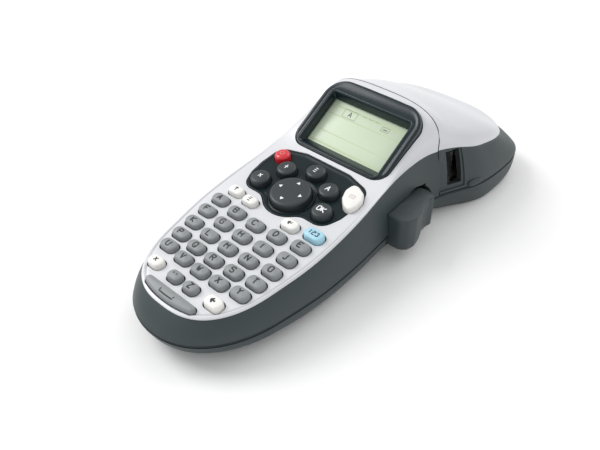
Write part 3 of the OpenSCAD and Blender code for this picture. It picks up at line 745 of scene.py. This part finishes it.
# the other bar-shaped keys: name, place from the middle letter row, length, width and slot
PILLS = [
    ("key_caps", -18.9, 22.3, 7.0, 4.6, "key_white"), ("key_style", -10.4, 21.4, 7.0, 4.6, "key_white"),
    ("key_return", 11.0, 21.0, 7.6, 5.0, "key_white"), ("key_numbers", 21.5, 22.5, 8.4, 5.4, "key_blue"),
    ("key_delete", -15.6, -21.5, 6.8, 5.0, "key_white"), ("key_symbol_left", -4.6, -21.9, 6.4, 4.7, "key_grey"),
    ("key_symbol_right", 3.8, -21.9, 6.4, 4.7, "key_grey"), ("key_enter", 15, -21.5, 7.6, 5.2, "key_white")]
NAV_Y = ROW_Y + 33.3
NAV_R = 8.4
FN_R = 4.2
FN_AT = {"key_cancel": (-16.1, -0.3), "key_format": (11, 9.7), "key_settings": (0, 15),
         "key_insert": (-11, 9.7), "key_ok": (16.1, -0.3)}
POWER_AT = (-18.5, ROW_Y + 48.5)
PRINT_AT = (20.8, ROW_Y + 45.1)
SPACE_Y = ROW_Y - 29.7
# letter keys: shift to the right, pitch along and across the rows, and their size
KEY_SHIFT = 0.25
PITCH_X, PITCH_Y = 10.5, 7.2
LETTER_LEN, LETTER_WID = 7.7, 5.0
KEY_PROUD = 2.3
FN_PROUD, NAV_PROUD, POWER_PROUD, PRINT_PROUD, SPACE_PROUD = 3.0, 3.2, 2.8, 2.6, 2.2
POWER_R = 3.5
SPACE_WID = 3.2
PRINT_WIDEST = 3.6


def letter_xy(i):
    """Place of a letter key: rows draw together towards the nose and bend up at their ends."""
    r = i // 5
    x = KEY_SHIFT + (i % 5 - 2) * (PITCH_X - 0.07 * r * r)
    return x, ROW_Y - 0.9 + PITCH_Y * (2 - r) + 0.22 * max(0, r - 2) ** 2 + 0.0042 * x * x


def on_face(x, y):
    return (x, y, skin_z(x, y), face_angle(y))


# a key: its node, place on the face, plan outline at an inset, how far inside that outline a point
# lies, the widest inset, height, edge rounding and material slot
Key = namedtuple("Key", "name at outline inset widest proud rounding slot")


def pill_key(name, at, length, wid, proud, rounding, slot):
    h = (length - wid) / 2
    return Key(name, at, lambda t: pill_pts(length, wid, t),
               lambda x, y: wid / 2 - hypot(max(0.0, abs(x) - h), y), wid / 2, proud, rounding, slot)


def round_key(name, at, r, n, proud, rounding, slot):
    return Key(name, at, lambda t: circle_pts(max(0.02, r - t), n), lambda x, y: r - hypot(x, y),
               r, proud, rounding, slot)


KEYS = [pill_key("key_" + c, letter_xy(i), LETTER_LEN, LETTER_WID, KEY_PROUD, 1.25, "key_grey")
        for i, c in enumerate(LETTERS)]
KEYS += [pill_key(name, (x, ROW_Y + y), length, wid, KEY_PROUD + 0.2, 1.3, slot)
         for name, x, y, length, wid, slot in PILLS]
KEYS += [round_key(name, (x, NAV_Y + y), FN_R, 56, FN_PROUD, 1.5, "key_dark")
         for name, (x, y) in FN_AT.items()]
KEYS += [
    round_key("key_power", POWER_AT, POWER_R, 48, POWER_PROUD, 2.0, "key_red"),
    round_key("nav_pad", (0, NAV_Y), NAV_R, 96, NAV_PROUD, 1.3, "key_dark"),
    Key("key_print", PRINT_AT, lens_pts,
        lambda x, y: min(PRINT_WIDEST, LENS_ROUND - poly_sdf(x, y, LENS_CORE)), PRINT_WIDEST,
        PRINT_PROUD, 1.3, "key_white"),
    Key("key_space", (0, SPACE_Y), lambda t: bean_pts(SPACE_WID, t),
        lambda x, y: BEND_R + SPACE_WID / 2 - hypot(x, y - BEND_R), SPACE_WID / 2,
        SPACE_PROUD, 1.1, "key_grey")]
CLUSTER = ("key_power", "nav_pad", "key_print") + tuple(FN_AT)


def cap_height(key, inset, dome=0.22):
    """Height of a key's top at some way in from its outline."""
    r = min(key.rounding, key.widest)
    if inset < r:
        a = 1 - inset / r
        return key.proud - dome - r * 0.85 * (1 - (1 - a ** 2.3) ** (1 / 2.3))
    g = (inset - r) / max(0.3, key.widest - r)
    return key.proud - dome * (1 - min(1.0, g)) ** 2


def key_holes(which, gap=KEY_GAP):
    keys = [key for key in KEYS if which(key.name)]
    return join([prism(key.outline(-gap), -6, 6, on_face(*key.at)) for key in keys])


# ---- control panel outline
def hull_of_circles(circles):
    """Outline drawn tight round some circles."""
    pts = [p for x, y, r in circles for p in circle_pts(r, 72, cx=x, cy=y)]
    pts = sorted(set(pts))
    out = []
    for side in (pts, pts[::-1]):
        chain = []
        for p in side:
            while len(chain) > 1 and ((chain[-1][0] - chain[-2][0]) * (p[1] - chain[-2][1])
                                      - (chain[-1][1] - chain[-2][1]) * (p[0] - chain[-2][0])) <= 0:
                chain.pop()
            chain.append(p)
        out += chain[:-1]
    return out


# plan of the panel, measured from the middle letter row: a shield with a round swell about the pad
SHIELD = hull_of_circles([(s * x, y, r) for s in (-1, 1) for x, y, r in (
    (10.5, 50.3, 5.4), (18.2, 48.3, 5.4), (18.2, 42, 5.9), (17.6, 36.5, 5.9), (16.4, 33.1, 5.8))])
SWELL_R = 11.2
SWELL_BLEND = 2.6


def panel_sdf(x, y):
    a = poly_sdf(x, y, SHIELD)
    b = hypot(x, y - (NAV_Y - ROW_Y)) - SWELL_R
    h = max(SWELL_BLEND - abs(a - b), 0.0) / SWELL_BLEND
    return min(a, b) - h * h * SWELL_BLEND * 0.25


def panel_pts(grow, n=150):
    return [(x, ROW_Y + y) for x, y in level_pts(panel_sdf, grow, 0, 40.5, 34, n)]


# ---- screen frame
SCREEN_Y = HUMP_Y + 15.85
SCREEN_AT = (0.8, SCREEN_Y, hump_line(SCREEN_Y), SCREEN_TILT)
LCD_OFF = -1.5
LCD_DROP = 4.1
BEZEL_W, BEZEL_H, BEZEL_R = 48.2, 35.2, (6.5, 9.5)
LCD_W, LCD_H = 39.2, 21.8


def round_rect(w, h, r_low, r_high, cy=0.0, n=12):
    q = pi / 2
    out = []
    for sx, sy, r, a in ((1, -1, r_low, -q), (1, 1, r_high, 0), (-1, 1, r_high, q), (-1, -1, r_low, 2 * q)):
        out += circle_pts(r, n, a, a + q, cx=sx * (w / 2 - r), cy=cy + sy * (h / 2 - r), end=True)
    return out


def bezel_pts(inset):
    low, high = (max(0.4, r - inset) for r in BEZEL_R)
    return round_rect(BEZEL_W - 2 * inset, BEZEL_H - 2 * inset, low, high)


# ---- silver face plate
def face_plate():
    rings = [edge_ring(0, 0.5), edge_ring(0, 0)] + [skin_ring(s, 0, 0, lipped=True) for s in SKIN_STEPS]
    ob = stack("face_skin", rings)
    form = surface_of(ob)
    under = [edge_ring(PLATE_T, PLATE_T + 4), edge_ring(PLATE_T, PLATE_T)]
    combine(ob, stack("tool", under + [skin_ring(s, PLATE_T, PLATE_T) for s in COARSE_STEPS]))
    combine(ob, slab(FACE_END, FAR, 0, 80))
    combine(ob, key_holes(lambda n: n not in CLUSTER, SHOWN_GAP))
    combine(ob, key_holes(lambda n: n in ("key_print", "key_power")))
    combine(ob, prism(panel_pts(0.15), 0, 80))
    combine(ob, prism(bezel_pts(-0.2), -8, 8, SCREEN_AT))
    paint(ob, SILVER)
    # painted shade: the plate's cut end at the lid seam is made near-black, so the seam reads as a dark line
    paint_gap_shade(ob, lambda c, n: c.y > FACE_END - 0.1 and n.y > 0.9)
    done(shade_like(smooth(ob), form), "housing", "silver_plastic", ["face_plate"])


face_plate()


# ---- dark front housing
def front_shell():
    foot = PARTING_Z + 0.125
    rings = [parting_ring(t, z) for t, z in ((0.3, foot), (0.08, PARTING_Z + 0.25), (0.0, PARTING_Z + 0.5))]
    low, high = parting_ring(0), edge_ring(0.12, 0.6)
    rings += [between(low, high, k / 8, WALL_SWELL) for k in range(1, 8)] + [high, edge_ring(DECK_TOP, 0.6)]
    rings += [skin_ring(s, DECK_TOP, DECK_TOP) for s in COARSE_STEPS]
    ob = stack("front_shell", rings)
    t = PLATE_T + DECK_T
    hollow = [parting_ring(WALL, 2), parting_ring(WALL), edge_ring(WALL, t + 1)]
    combine(ob, stack("tool", hollow + [skin_ring(s, WALL, t, 4) for s in COARSE_STEPS]))
    inner = slab(FACE_END - 1.8, FACE_END, foot, 80)
    fuse(inner, lever_bay(foot, 24.4))
    form = [parting_ring(1), edge_ring(1, 1)] + [skin_ring(s, 1, 1) for s in COARSE_STEPS]
    combine(inner, stack("tool", form), "INTERSECT")
    fuse(ob, inner)
    combine(ob, slab(FACE_END, FAR, 0, 80))
    combine(ob, key_holes(lambda n: n not in CLUSTER, SHOWN_GAP + 0.1))
    combine(ob, prism(panel_pts(-0.3), 20, 80))
    combine(ob, lever_windows())
    combine(ob, prism(bezel_pts(-0.2), -3.7, 8, SCREEN_AT))
    combine(ob, block(-24, 24, LCD_OFF - 15, LCD_OFF + 15, -30, 1, SCREEN_AT))
    paint(ob, SLATE)
    # painted shade: the wall's underside over the parting groove is made near-black for the shadow in the
    # groove
    paint_gap_shade(ob, lambda c, n: c.z < PARTING_Z + 0.2 and n.z < -0.5)
    done(smooth(ob), "housing", "slate_plastic", ["front_housing"])


front_shell()


def control_panel():
    """Dark shield with a rolled rim and a sunken ring round the pad."""
    rim = ((-0.15, -2.2), (-0.15, -0.45), (-0.3, -0.12), (-0.6, 0.0), (-1.0, -0.02), (-1.35, -0.16),
           (-1.8, -0.22))
    rings = [[(x, y, skin_z(x, y) + lift) for x, y in panel_pts(inset, 240)] for inset, lift in rim]
    last_inset, last_lift = rim[-1]
    last = panel_pts(last_inset, 240)
    for k in range(1, 34):
        s = 1 - k / 34
        ring = []
        for x, y in last:
            px, py = x * s, NAV_Y + (y - NAV_Y) * s
            d = hypot(px, py - NAV_Y)
            dip = -0.45 * bell(d, 9.2, 0.75) + 0.22 * bell(d, 10.5, 0.6)
            ring.append((px, py, skin_z(px, py) + last_lift + dip))
        rings.append(ring)
    ob = loft("control_panel", rings)
    combine(ob, key_holes(lambda n: n in CLUSTER))
    paint(ob, PANEL)
    done(smooth(ob, 38), "housing", "slate_plastic")


control_panel()


# ---- lid over the cassette
PATH_Y = SEAM_Y + 7.3
LID_LOW = PARTING_Z + SEAM_GAP
SLOT_X, SLOT_HALF, SLOT_LOW, SLOT_TOP = 24, 3.3, 15.6, 31.0


def lid():
    low, high = parting_ring(0.0, PARTING_Z + 0.7), edge_ring(0.16, 0.35)
    rings = [parting_ring(0.3, LID_LOW - 0.05), parting_ring(0.08, LID_LOW + 0.1), low]
    rings += [between(low, high, k / 9, LID_SWELL) for k in range(1, 9)] + [high]
    bands = [0] * (len(rings) - 1)
    rings += [edge_ring(0.16, 0.12), edge_ring(0.0, 0.06), edge_ring(0, -0.05)]
    rings += [skin_ring(s, 0, 0) for s in SKIN_STEPS if not 0.953 < s < 0.99]
    bands += [0] + [1] * (len(rings) - len(bands) - 2)
    ob = stack("cassette_lid", rings, (SLATE, SILVER), bands)
    form = surface_of(ob)
    inner = [parting_ring(WALL, 2), parting_ring(WALL), edge_ring(WALL, WALL)]
    combine(ob, stack("tool", inner + [skin_ring(s, WALL, WALL) for s in COARSE_STEPS], (SLATE, SILVER)))
    combine(ob, slab(-FAR, SEAM_Y, -10, 90))
    combine(ob, slab(-FAR, FAR, -10, LID_LOW))
    combine(ob, block(-9.8, 9.8, HINGE_Y - 2.2, HINGE_Y + 3.8, 0, HINGE_Z + HINGE_R + 0.3))
    barrel = cross_rod(-4.8, 4.8, HINGE_Y, HINGE_Z, HINGE_R)
    arm = block(-4.8, 4.8, HINGE_Y - 3.6, HINGE_Y - 0.2, HINGE_Z - 0.3, HINGE_Z + HINGE_R)
    fuse(barrel, arm)
    fuse(barrel, cross_rod(-9.2, 9.2, HINGE_Y, HINGE_Z, 0.8))
    fuse(ob, barrel)
    # shallow flat field round the tape slot, up to the silver edge
    field = block(30, 50, SEAM_Y - 1, PATH_Y + 4.4, LID_LOW + 1.2, 40)
    sunk = edge_ring(0.6, 0.42)
    core = [parting_ring(0.55, 0), parting_ring(0.55)]
    core += [between(core[1], sunk, k / 6, LID_SWELL) for k in range(1, 6)] + [sunk, edge_ring(-1, 0.4)]
    core += [skin_ring(s, -1, -1) for s in COARSE_STEPS]
    combine(ob, combine(field, stack("tool", core)))
    combine(ob, block(SLOT_X, 54, PATH_Y - SLOT_HALF, PATH_Y + SLOT_HALF, SLOT_LOW, SLOT_TOP))
    # painted shade: the walls inside the tape slot and the lid's face at the seam are made near-black for the
    # shadow there
    paint_gap_shade(ob, lambda c, n: (c.x > SLOT_X and abs(c.y - PATH_Y) < SLOT_HALF + 0.05
                             and SLOT_LOW - 0.1 < c.z < SLOT_TOP + 0.1 and abs(n.x) < 0.3))
    paint_gap_shade(ob, lambda c, n: c.y < SEAM_Y + 0.1 and n.y < -0.9)
    done(shade_like(smooth(ob), form), "door", "silver_plastic", ["cassette_door"])


lid()


def catch_tab():
    """Thumb tab that hooks the lid shut: a swept rounded bar, low below its middle line."""
    rings = []
    for k in range(15):
        s = k / 14
        r = (1 - abs(2 * s - 1) ** 3.5) ** 0.5 if 0 < k < 14 else 0.05
        rings.append([(38.7 + 2.1 * s + 1.25 * u, 45.2 + 7.6 * s, PARTING_Z + 1.2 + 1.9 * max(v, 0.45 * v))
                      for u, v in circle_pts(r, 24)])
    ob = loft("lid_tab", rings)
    paint(ob, SLATE)
    done(smooth(ob, 60), "door", "silver_plastic")


catch_tab()


# ---- cutter lever
LEVER_PLAN = [(26.2, -2.8), (36.6, -3.0), (39.6, -0.8), (40.6, 3), (39.4, 8), (37.4, 12.5), (37.1, 16),
              (37.8, 19.2), (36, 21), (29.5, 21), (26.2, 8)]


def rounded(poly, cuts=(0.14, 0.25, 0.25)):
    """Corners cut again and again, the first cut the smallest so they stay crisp."""
    for cut in cuts:
        out = []
        for k, (x0, y0) in enumerate(poly):
            x1, y1 = poly[(k + 1) % len(poly)]
            for t in (cut, 1 - cut):
                out.append((x0 + (x1 - x0) * t, y0 + (y1 - y0) * t))
        poly = out
    return poly


def inset_pts(poly, d):
    """Outline moved inwards, square to the line between each point's neighbours."""
    out = []
    for k, (x, y) in enumerate(poly):
        ax, ay = poly[k - 1]
        bx, by = poly[(k + 1) % len(poly)]
        length = hypot(bx - ax, by - ay)
        out.append((x - (by - ay) / length * d, y + (bx - ax) / length * d))
    return out


def cutter_lever():
    plan = rounded(LEVER_PLAN)
    low, high = LEVER_LOW, LEVER_HIGH
    profile = ((1.2, low), (0.6, low + 0.12), (0.2, low + 0.5), (0.0, low + 1.1), (0.0, 11.0), (0.0, 16.0),
               (0.0, high - 0.8), (0.06, high - 0.5), (0.22, high - 0.22), (0.45, high - 0.06), (0.75, high))
    ob = loft("squeeze_lever", [[(x, y, z) for x, y in inset_pts(plan, inset)] for inset, z in profile])
    fuse(ob, rod(LEVER_PIVOT[0], LEVER_PIVOT[1], 1.2, LEVER_LOW - 1.9, LEVER_HIGH + 3.3))
    paint(ob, SLATE)
    done(smooth(ob, 40), "lever", "slate_plastic", ["cutter_lever"])


cutter_lever()


# ---- screen
WINDOW_W, WINDOW_H, WINDOW_R, WINDOW_OFF = 42.2, 28.7, 2.4, -2.65


def window_pts(inset):
    """Rim of the screen's window, reaching further down than the display."""
    r = max(0.5, WINDOW_R - inset)
    return round_rect(WINDOW_W - 2 * inset, WINDOW_H - 2 * inset, r, r, WINDOW_OFF)


def screen_bezel():
    """Glossy frame: rolled outer rim, front lip sloping down, bead round the window, deep inner walls."""
    def lowered(pts, w, fall):
        return [(u, v, w - fall * ease(-v, 12.0, 17.0)) for u, v in pts]

    def blend(a, b, share):
        return a[0] + (b[0] - a[0]) * share, a[1] + (b[1] - a[1]) * share

    rim = ((0.15, -3.4, 0), (0.0, -3.1, 0), (0.0, -0.2, 0.2), (0.07, 0.2, 0.4), (0.24, 0.5, 0.5),
           (0.55, 0.67, 0.6), (1.1, 0.74, 0.6))
    rings = [lowered(bezel_pts(inset), w, fall) for inset, w, fall in rim]
    for s in (0.25, 0.5, 0.75):
        land = [blend(a, b, s) for a, b in zip(bezel_pts(1.1), window_pts(0.0))]
        rings.append(lowered(land, 0.74 - 0.24 * sin(pi * s * 0.9), 0.6 * (1 - s)))
    glass = round_rect(LCD_W, LCD_H, 0.5, 0.5, LCD_OFF)
    inner = ((0.25, 0.80, 0), (0.5, 0.84, 0), (0.75, 0.70, 0.02), (0.9, 0.40, 0.1), (1.1, -0.6, 0.32),
             (1.2, -2.0, 0.65), (1.3, -3.4, 1.0))
    for inset, w, share in inner:
        rings.append([(*blend(a, b, share), w) for a, b in zip(window_pts(inset), glass)])
    # the last ring meets the first, so there are no end faces
    faces = walls(rings + rings[:1], [0] * len(rings))[0]
    count = len(rings) * len(glass)
    pts = [p for ring in rings for p in tilted(ring, *SCREEN_AT)]
    ob = mesh_object("screen_frame", pts, [tuple(i % count for i in face) for face in faces], (BEZEL,))
    done(smooth(ob, 50), "housing", "bezel_black", ["screen_bezel"])


screen_bezel()


# ---- strokes for the legends
# each sign as strokes: pairs of digits are points on a grid 4 wide and 6 high
GLYPHS = {
    "A": "002640 1232", "B": "00063645443303 3342413000", "C": "4536160501103041", "D": "00062644422000",
    "E": "40000646 0333", "F": "000646 0333", "G": "45361605011030414323", "H": "0006 4046 0343", "I": "2026",
    "J": "3631201001", "K": "0006 460340", "L": "060040", "M": "0006234640", "N": "00064046",
    "O": "160501103041453616", "P": "00063645443303", "Q": "160501103041453616 2240",
    "R": "00063645443303 2340",
    "S": "453616050413334241301001", "T": "2026 0646", "U": "060110304146", "V": "062046", "W": "0610243046",
    "X": "0046 0640", "Y": "062346 2320", "Z": "06460040", "1": "152620", "2": "0516364544030040",
    "3": "0516364544334241301001", "up": "2026 0426 4426", "bars": "0040 0343 0646",
    "hook": "454303 2503 2103", "left": "4303 2503 2103", "cross": "0146 4106", "plus": "2026 0343",
    "dots": "0305 4345"}


def glyph_lines(word, height, cx=0.0, cy=0.0):
    """Polylines of a short word or sign, centred on a point."""
    signs = [word] if word in GLYPHS else list(word)
    unit = height / 6
    advance = 5.6 * unit
    x0 = cx - (len(signs) - 1) * advance / 2 - 2 * unit
    out = []
    for k, sign in enumerate(signs):
        for run in GLYPHS[sign].split():
            out.append([(x0 + k * advance + int(run[i]) * unit, cy + (int(run[i + 1]) - 3) * unit)
                        for i in range(0, len(run), 2)])
    return out


def ribbon(line, half, height_of, pts, faces):
    """A flat stroke laid along a polyline on a curved top."""
    dense = []
    for (x0, y0), (x1, y1) in zip(line, line[1:]):
        n = max(1, int(hypot(x1 - x0, y1 - y0) / 0.45))
        dense += [(x0 + (x1 - x0) * j / n, y0 + (y1 - y0) * j / n) for j in range(n)]
    dense.append(line[-1])
    base = len(pts)
    for k, (x, y) in enumerate(dense):
        ax, ay = dense[max(0, k - 1)]
        bx, by = dense[min(len(dense) - 1, k + 1)]
        tx, ty = bx - ax, by - ay
        length = hypot(tx, ty) or 1.0
        for s in (-1, 1):
            px, py = x - s * ty / length * half, y + s * tx / length * half
            pts.append((px, py, height_of(px, py)))
    for k in range(len(dense) - 1):
        a = base + 2 * k
        faces.append((a, a + 1, a + 3, a + 2))


def space_sign(half_angle=0.08, r=BEND_R + 0.45, n=12, up=1.15):
    """Bent bracket that follows the space bar."""
    arc = [(r * sin(half_angle * (2 * k / n - 1)), BEND_R - r * cos(half_angle * (2 * k / n - 1)))
           for k in range(n + 1)]
    return [(arc[0][0], arc[0][1] + up)] + arc + [(arc[-1][0], arc[-1][1] + up)]


# legend of each key: its lines, half the width of a stroke, and the ink
LEGENDS = {"key_" + c: (glyph_lines(c, 2.4), 0.29, INK) for c in LETTERS}
LEGENDS.update({name: (glyph_lines(sign, size), half, ink) for name, sign, size, half, ink in (
    ("key_caps", "up", 2.0, 0.23, INK), ("key_style", "bars", 1.8, 0.2, INK),
    ("key_return", "hook", 2.4, 0.26, INK), ("key_numbers", "123", 1.7, 0.22, INK),
    ("key_delete", "cross", 2.0, 0.24, INK),
    ("key_symbol_left", "dots", 2.2, 0.29, INK), ("key_symbol_right", "Z", 2.3, 0.29, INK),
    ("key_enter", "left", 3.0, 0.36, INK), ("key_cancel", "cross", 2.0, 0.18, INK_WHITE),
    ("key_insert", "plus", 2.2, 0.18, INK_WHITE), ("key_settings", "bars", 2.0, 0.17, INK_WHITE),
    ("key_format", "A", 2.4, 0.18, INK_WHITE), ("key_ok", "OK", 2.2, 0.22, INK_WHITE))})
LEGENDS["key_space"] = ([space_sign()], 0.26, INK)
turns = [0.6 + 0.42 * k for k in range(13)]
LEGENDS["key_power"] = ([[(0.9 * sin(a), 0.9 * cos(a)) for a in turns], [(0, 0.35), (0, 1.25)]],
                        0.12, INK_FAINT)
LEGENDS["key_print"] = ([[(-0.9, -0.7), (1.3, -0.7), (1.3, 0.9), (-0.9, 0.9), (-0.9, -0.7)],
                         [(-0.4, 0.1), (0.8, 0.1)]], 0.1, INK_FAINT)
LEGENDS["nav_pad"] = ([], 0, INK_WHITE)


def pad_arrows(height_of, pts, faces, n=5):
    """Four filled triangles near the pad's rim, in small facets that follow its top."""
    for quarter in range(4):
        c, s = cos(pi / 2 * quarter), sin(pi / 2 * quarter)
        base = len(pts)
        for i in range(n + 1):
            for j in range(i + 1):
                u, v = 5.9 - 1.35 * i / n, 0.85 * (2 * j - i) / n
                x, y = u * c - v * s, u * s + v * c
                pts.append((x, y, height_of(x, y)))
        for i in range(n):
            for j in range(i + 1):
                a = base + i * (i + 1) // 2 + j
                b = a + i + 1
                faces.append((a, b, b + 1))
                if j < i:
                    faces.append((a, b + 1, a + 1))


CAP_SHARES = (0, 0.015, 0.05, 0.1, 0.17, 0.26, 0.36, 0.47, 0.6, 0.75, 0.9)
PAD_INSETS = (0, 0.05, 0.15, 0.3, 0.5, 0.8, 1.1, 1.5, 2.2, 3.2, 4.4, 5.6, 6.8, 7.8)
CAP_DRAFT = 0.12
INK_LIFT = 0.025


def make_key(key):
    """A key's cap, and its legend a hair above the cap."""
    place = on_face(*key.at)
    insets = PAD_INSETS if key.name == "nav_pad" else [key.widest * g for g in CAP_SHARES]
    rings = [[(x, y, z) for x, y in key.outline(0.0)] for z in (KEY_ROOT, -0.2)]
    for t in insets:
        draft = CAP_DRAFT * (1 - t / insets[-1])
        rings.append([(x, y, cap_height(key, t)) for x, y in key.outline(t + draft)])
    cap = loft(key.name + "_cap", [tilted(ring, *place) for ring in rings], (KEY_PAINT[key.slot],))
    done(smooth(cap, 60), key.name, key.slot, [key.name])

    def height_of(x, y):
        return cap_height(key, max(0.0, key.inset(x, y))) + INK_LIFT

    lines, half, ink = LEGENDS[key.name]
    pts, faces = [], []
    if key.name == "nav_pad":
        pad_arrows(height_of, pts, faces)
    for line in lines:
        ribbon(line, half, height_of, pts, faces)
    legend = mesh_object(key.name + "_legend", tilted(pts, *place), faces, (ink,))
    done(smooth(legend, 60, 0.0), key.name, key.slot)


for key in KEYS:
    make_key(key)


# ---- display
def on_screen(name, draw, mat):
    """Strokes that lie on the display."""
    pts, faces = [], []
    draw(pts, faces)
    ob = mesh_object(name, tilted(pts, *SCREEN_AT), faces, (mat,))
    done(ob, "housing", "display_green")


def draw_marks(pts, faces):
    def stroke(line, half):
        ribbon(line, half, lambda x, y: 0.03 - LCD_DROP, pts, faces)

    top = LCD_OFF + 6.9
    for line in glyph_lines("A", 2.3, -9.2, top):
        stroke(line, 0.17)
    for x0, x1, h in ((-12.6, -5.9, 1.9), (7.3, 10.9, 1.0)):
        stroke([(x0, top - h), (x1, top - h), (x1, top + h), (x0, top + h), (x0, top - h)], 0.06)
    stroke([(8.1, top - 0.1), (10.1, top - 0.1)], 0.2)
    for x in (-3.4, -0.2, 3.0):
        stroke([(x, top + 1.6), (x + 1.8, top + 1.6)], 0.05)


def draw_bands(pts, faces):
    end = LCD_W / 2 - 0.6
    for v, half in ((8.6, 0.5), (4.4, 0.28), (-4.2, 0.25), (-9.6, 0.5)):
        ribbon([(-end, LCD_OFF + v), (end, LCD_OFF + v)], half, lambda x, y: 0.015 - LCD_DROP, pts, faces)


def display():
    """Glass block with a raised middle, its marks and its faint bands."""
    w0 = -LCD_DROP
    layers = ((47, 28.8, w0 - 4), (47, 28.8, w0 - 1.8), (45, 27.2, w0 - 1.75), (45, 27.2, w0 - 0.1),
              (44.7, 26.9, w0))
    rings = [[(u, v, z) for u, v in round_rect(a, b, 0.6, 0.6, LCD_OFF)] for a, b, z in layers]
    panel = loft("display_glass", [tilted(ring, *SCREEN_AT) for ring in rings], (DISPLAY,))
    done(smooth(panel, 30), "housing", "display_green", ["lcd_module"])
    on_screen("display_marks", draw_marks, MARK)
    on_screen("display_bands", draw_bands, MARK_FAINT)


display()

# ---- CAD nodes that stay, with finished materials
KEPT = {"circuit_board": BOARD, "batteries": CELL, "print_chassis": ACETAL, "tape_cassette": CASSETTE,
        "drive_motor": STEEL, "print_head": STEEL, "screws": STEEL, "cutter_blade": BLADE,
        "platen_roller": RUBBER, "motor_pinion": ACETAL}
for node, mat in KEPT.items():
    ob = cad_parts[node]
    ob.data.materials.clear()
    ob.data.materials.append(mat)

# ---- floor, light and camera
floor_mat = plastic("paper_floor", (0.92, 0.92, 0.92), 0.9, grain=300, bump=0.0, mottle=0.005)
FLOOR_HALF, FLOOR_Z = 4000, cad_box[0].z / MM - 0.05
corners = [(sx * FLOOR_HALF, sy * FLOOR_HALF, FLOOR_Z) for sx, sy in ((-1, -1), (1, -1), (1, 1), (-1, 1))]
floor = mesh_object("floor", corners, [(0, 1, 2, 3)], (floor_mat,))

world = bpy.data.worlds.new("studio")
scene.world = world
world.use_nodes = True
set_inputs(world.node_tree.nodes["Background"], {"Color": (1.0, 1.0, 1.0, 1.0), "Strength": 0.78})


def area_light(name, at, size, power):
    """A soft light aimed at the middle of the body."""
    data = bpy.data.lights.new(name, "AREA")
    data.shape = "RECTANGLE"
    data.size, data.size_y = size
    data.energy = power
    ob = linked(name, data)
    ob.location = at
    ob.rotation_mode = "QUATERNION"
    ob.rotation_quaternion = (Vector((0.0, 0.0, 0.02)) - Vector(at)).to_track_quat("-Z", "Y")


area_light("key_light", (-0.62, -0.25, 0.66), (0.5, 0.5), 5.0)
area_light("rear_light", (0.1, 0.7, 0.7), (0.8, 0.4), 2.0)

# camera: its bearing, height and roll, its lens and its place
AZ, EL, ROLL = radians(42.648), radians(40.388), radians(-0.792)
back = Vector((sin(AZ) * cos(EL), -cos(AZ) * cos(EL), sin(EL)))
right = Vector((cos(AZ), sin(AZ), 0.0))
up = back.cross(right)
right, up = (cos(ROLL) * right + sin(ROLL) * up, -sin(ROLL) * right + cos(ROLL) * up)
cam_data = bpy.data.cameras.new("camera")
cam_data.lens = 40.04
cam_data.clip_start = 0.01
camera = linked("camera", cam_data)
spot = Vector((0.141364, -0.173857, 0.18828))
camera.matrix_world = Matrix([[right[i], up[i], back[i], spot[i]] for i in range(3)] + [[0, 0, 0, 1]])
scene.camera = camera
scene.view_settings.view_transform = "Standard"
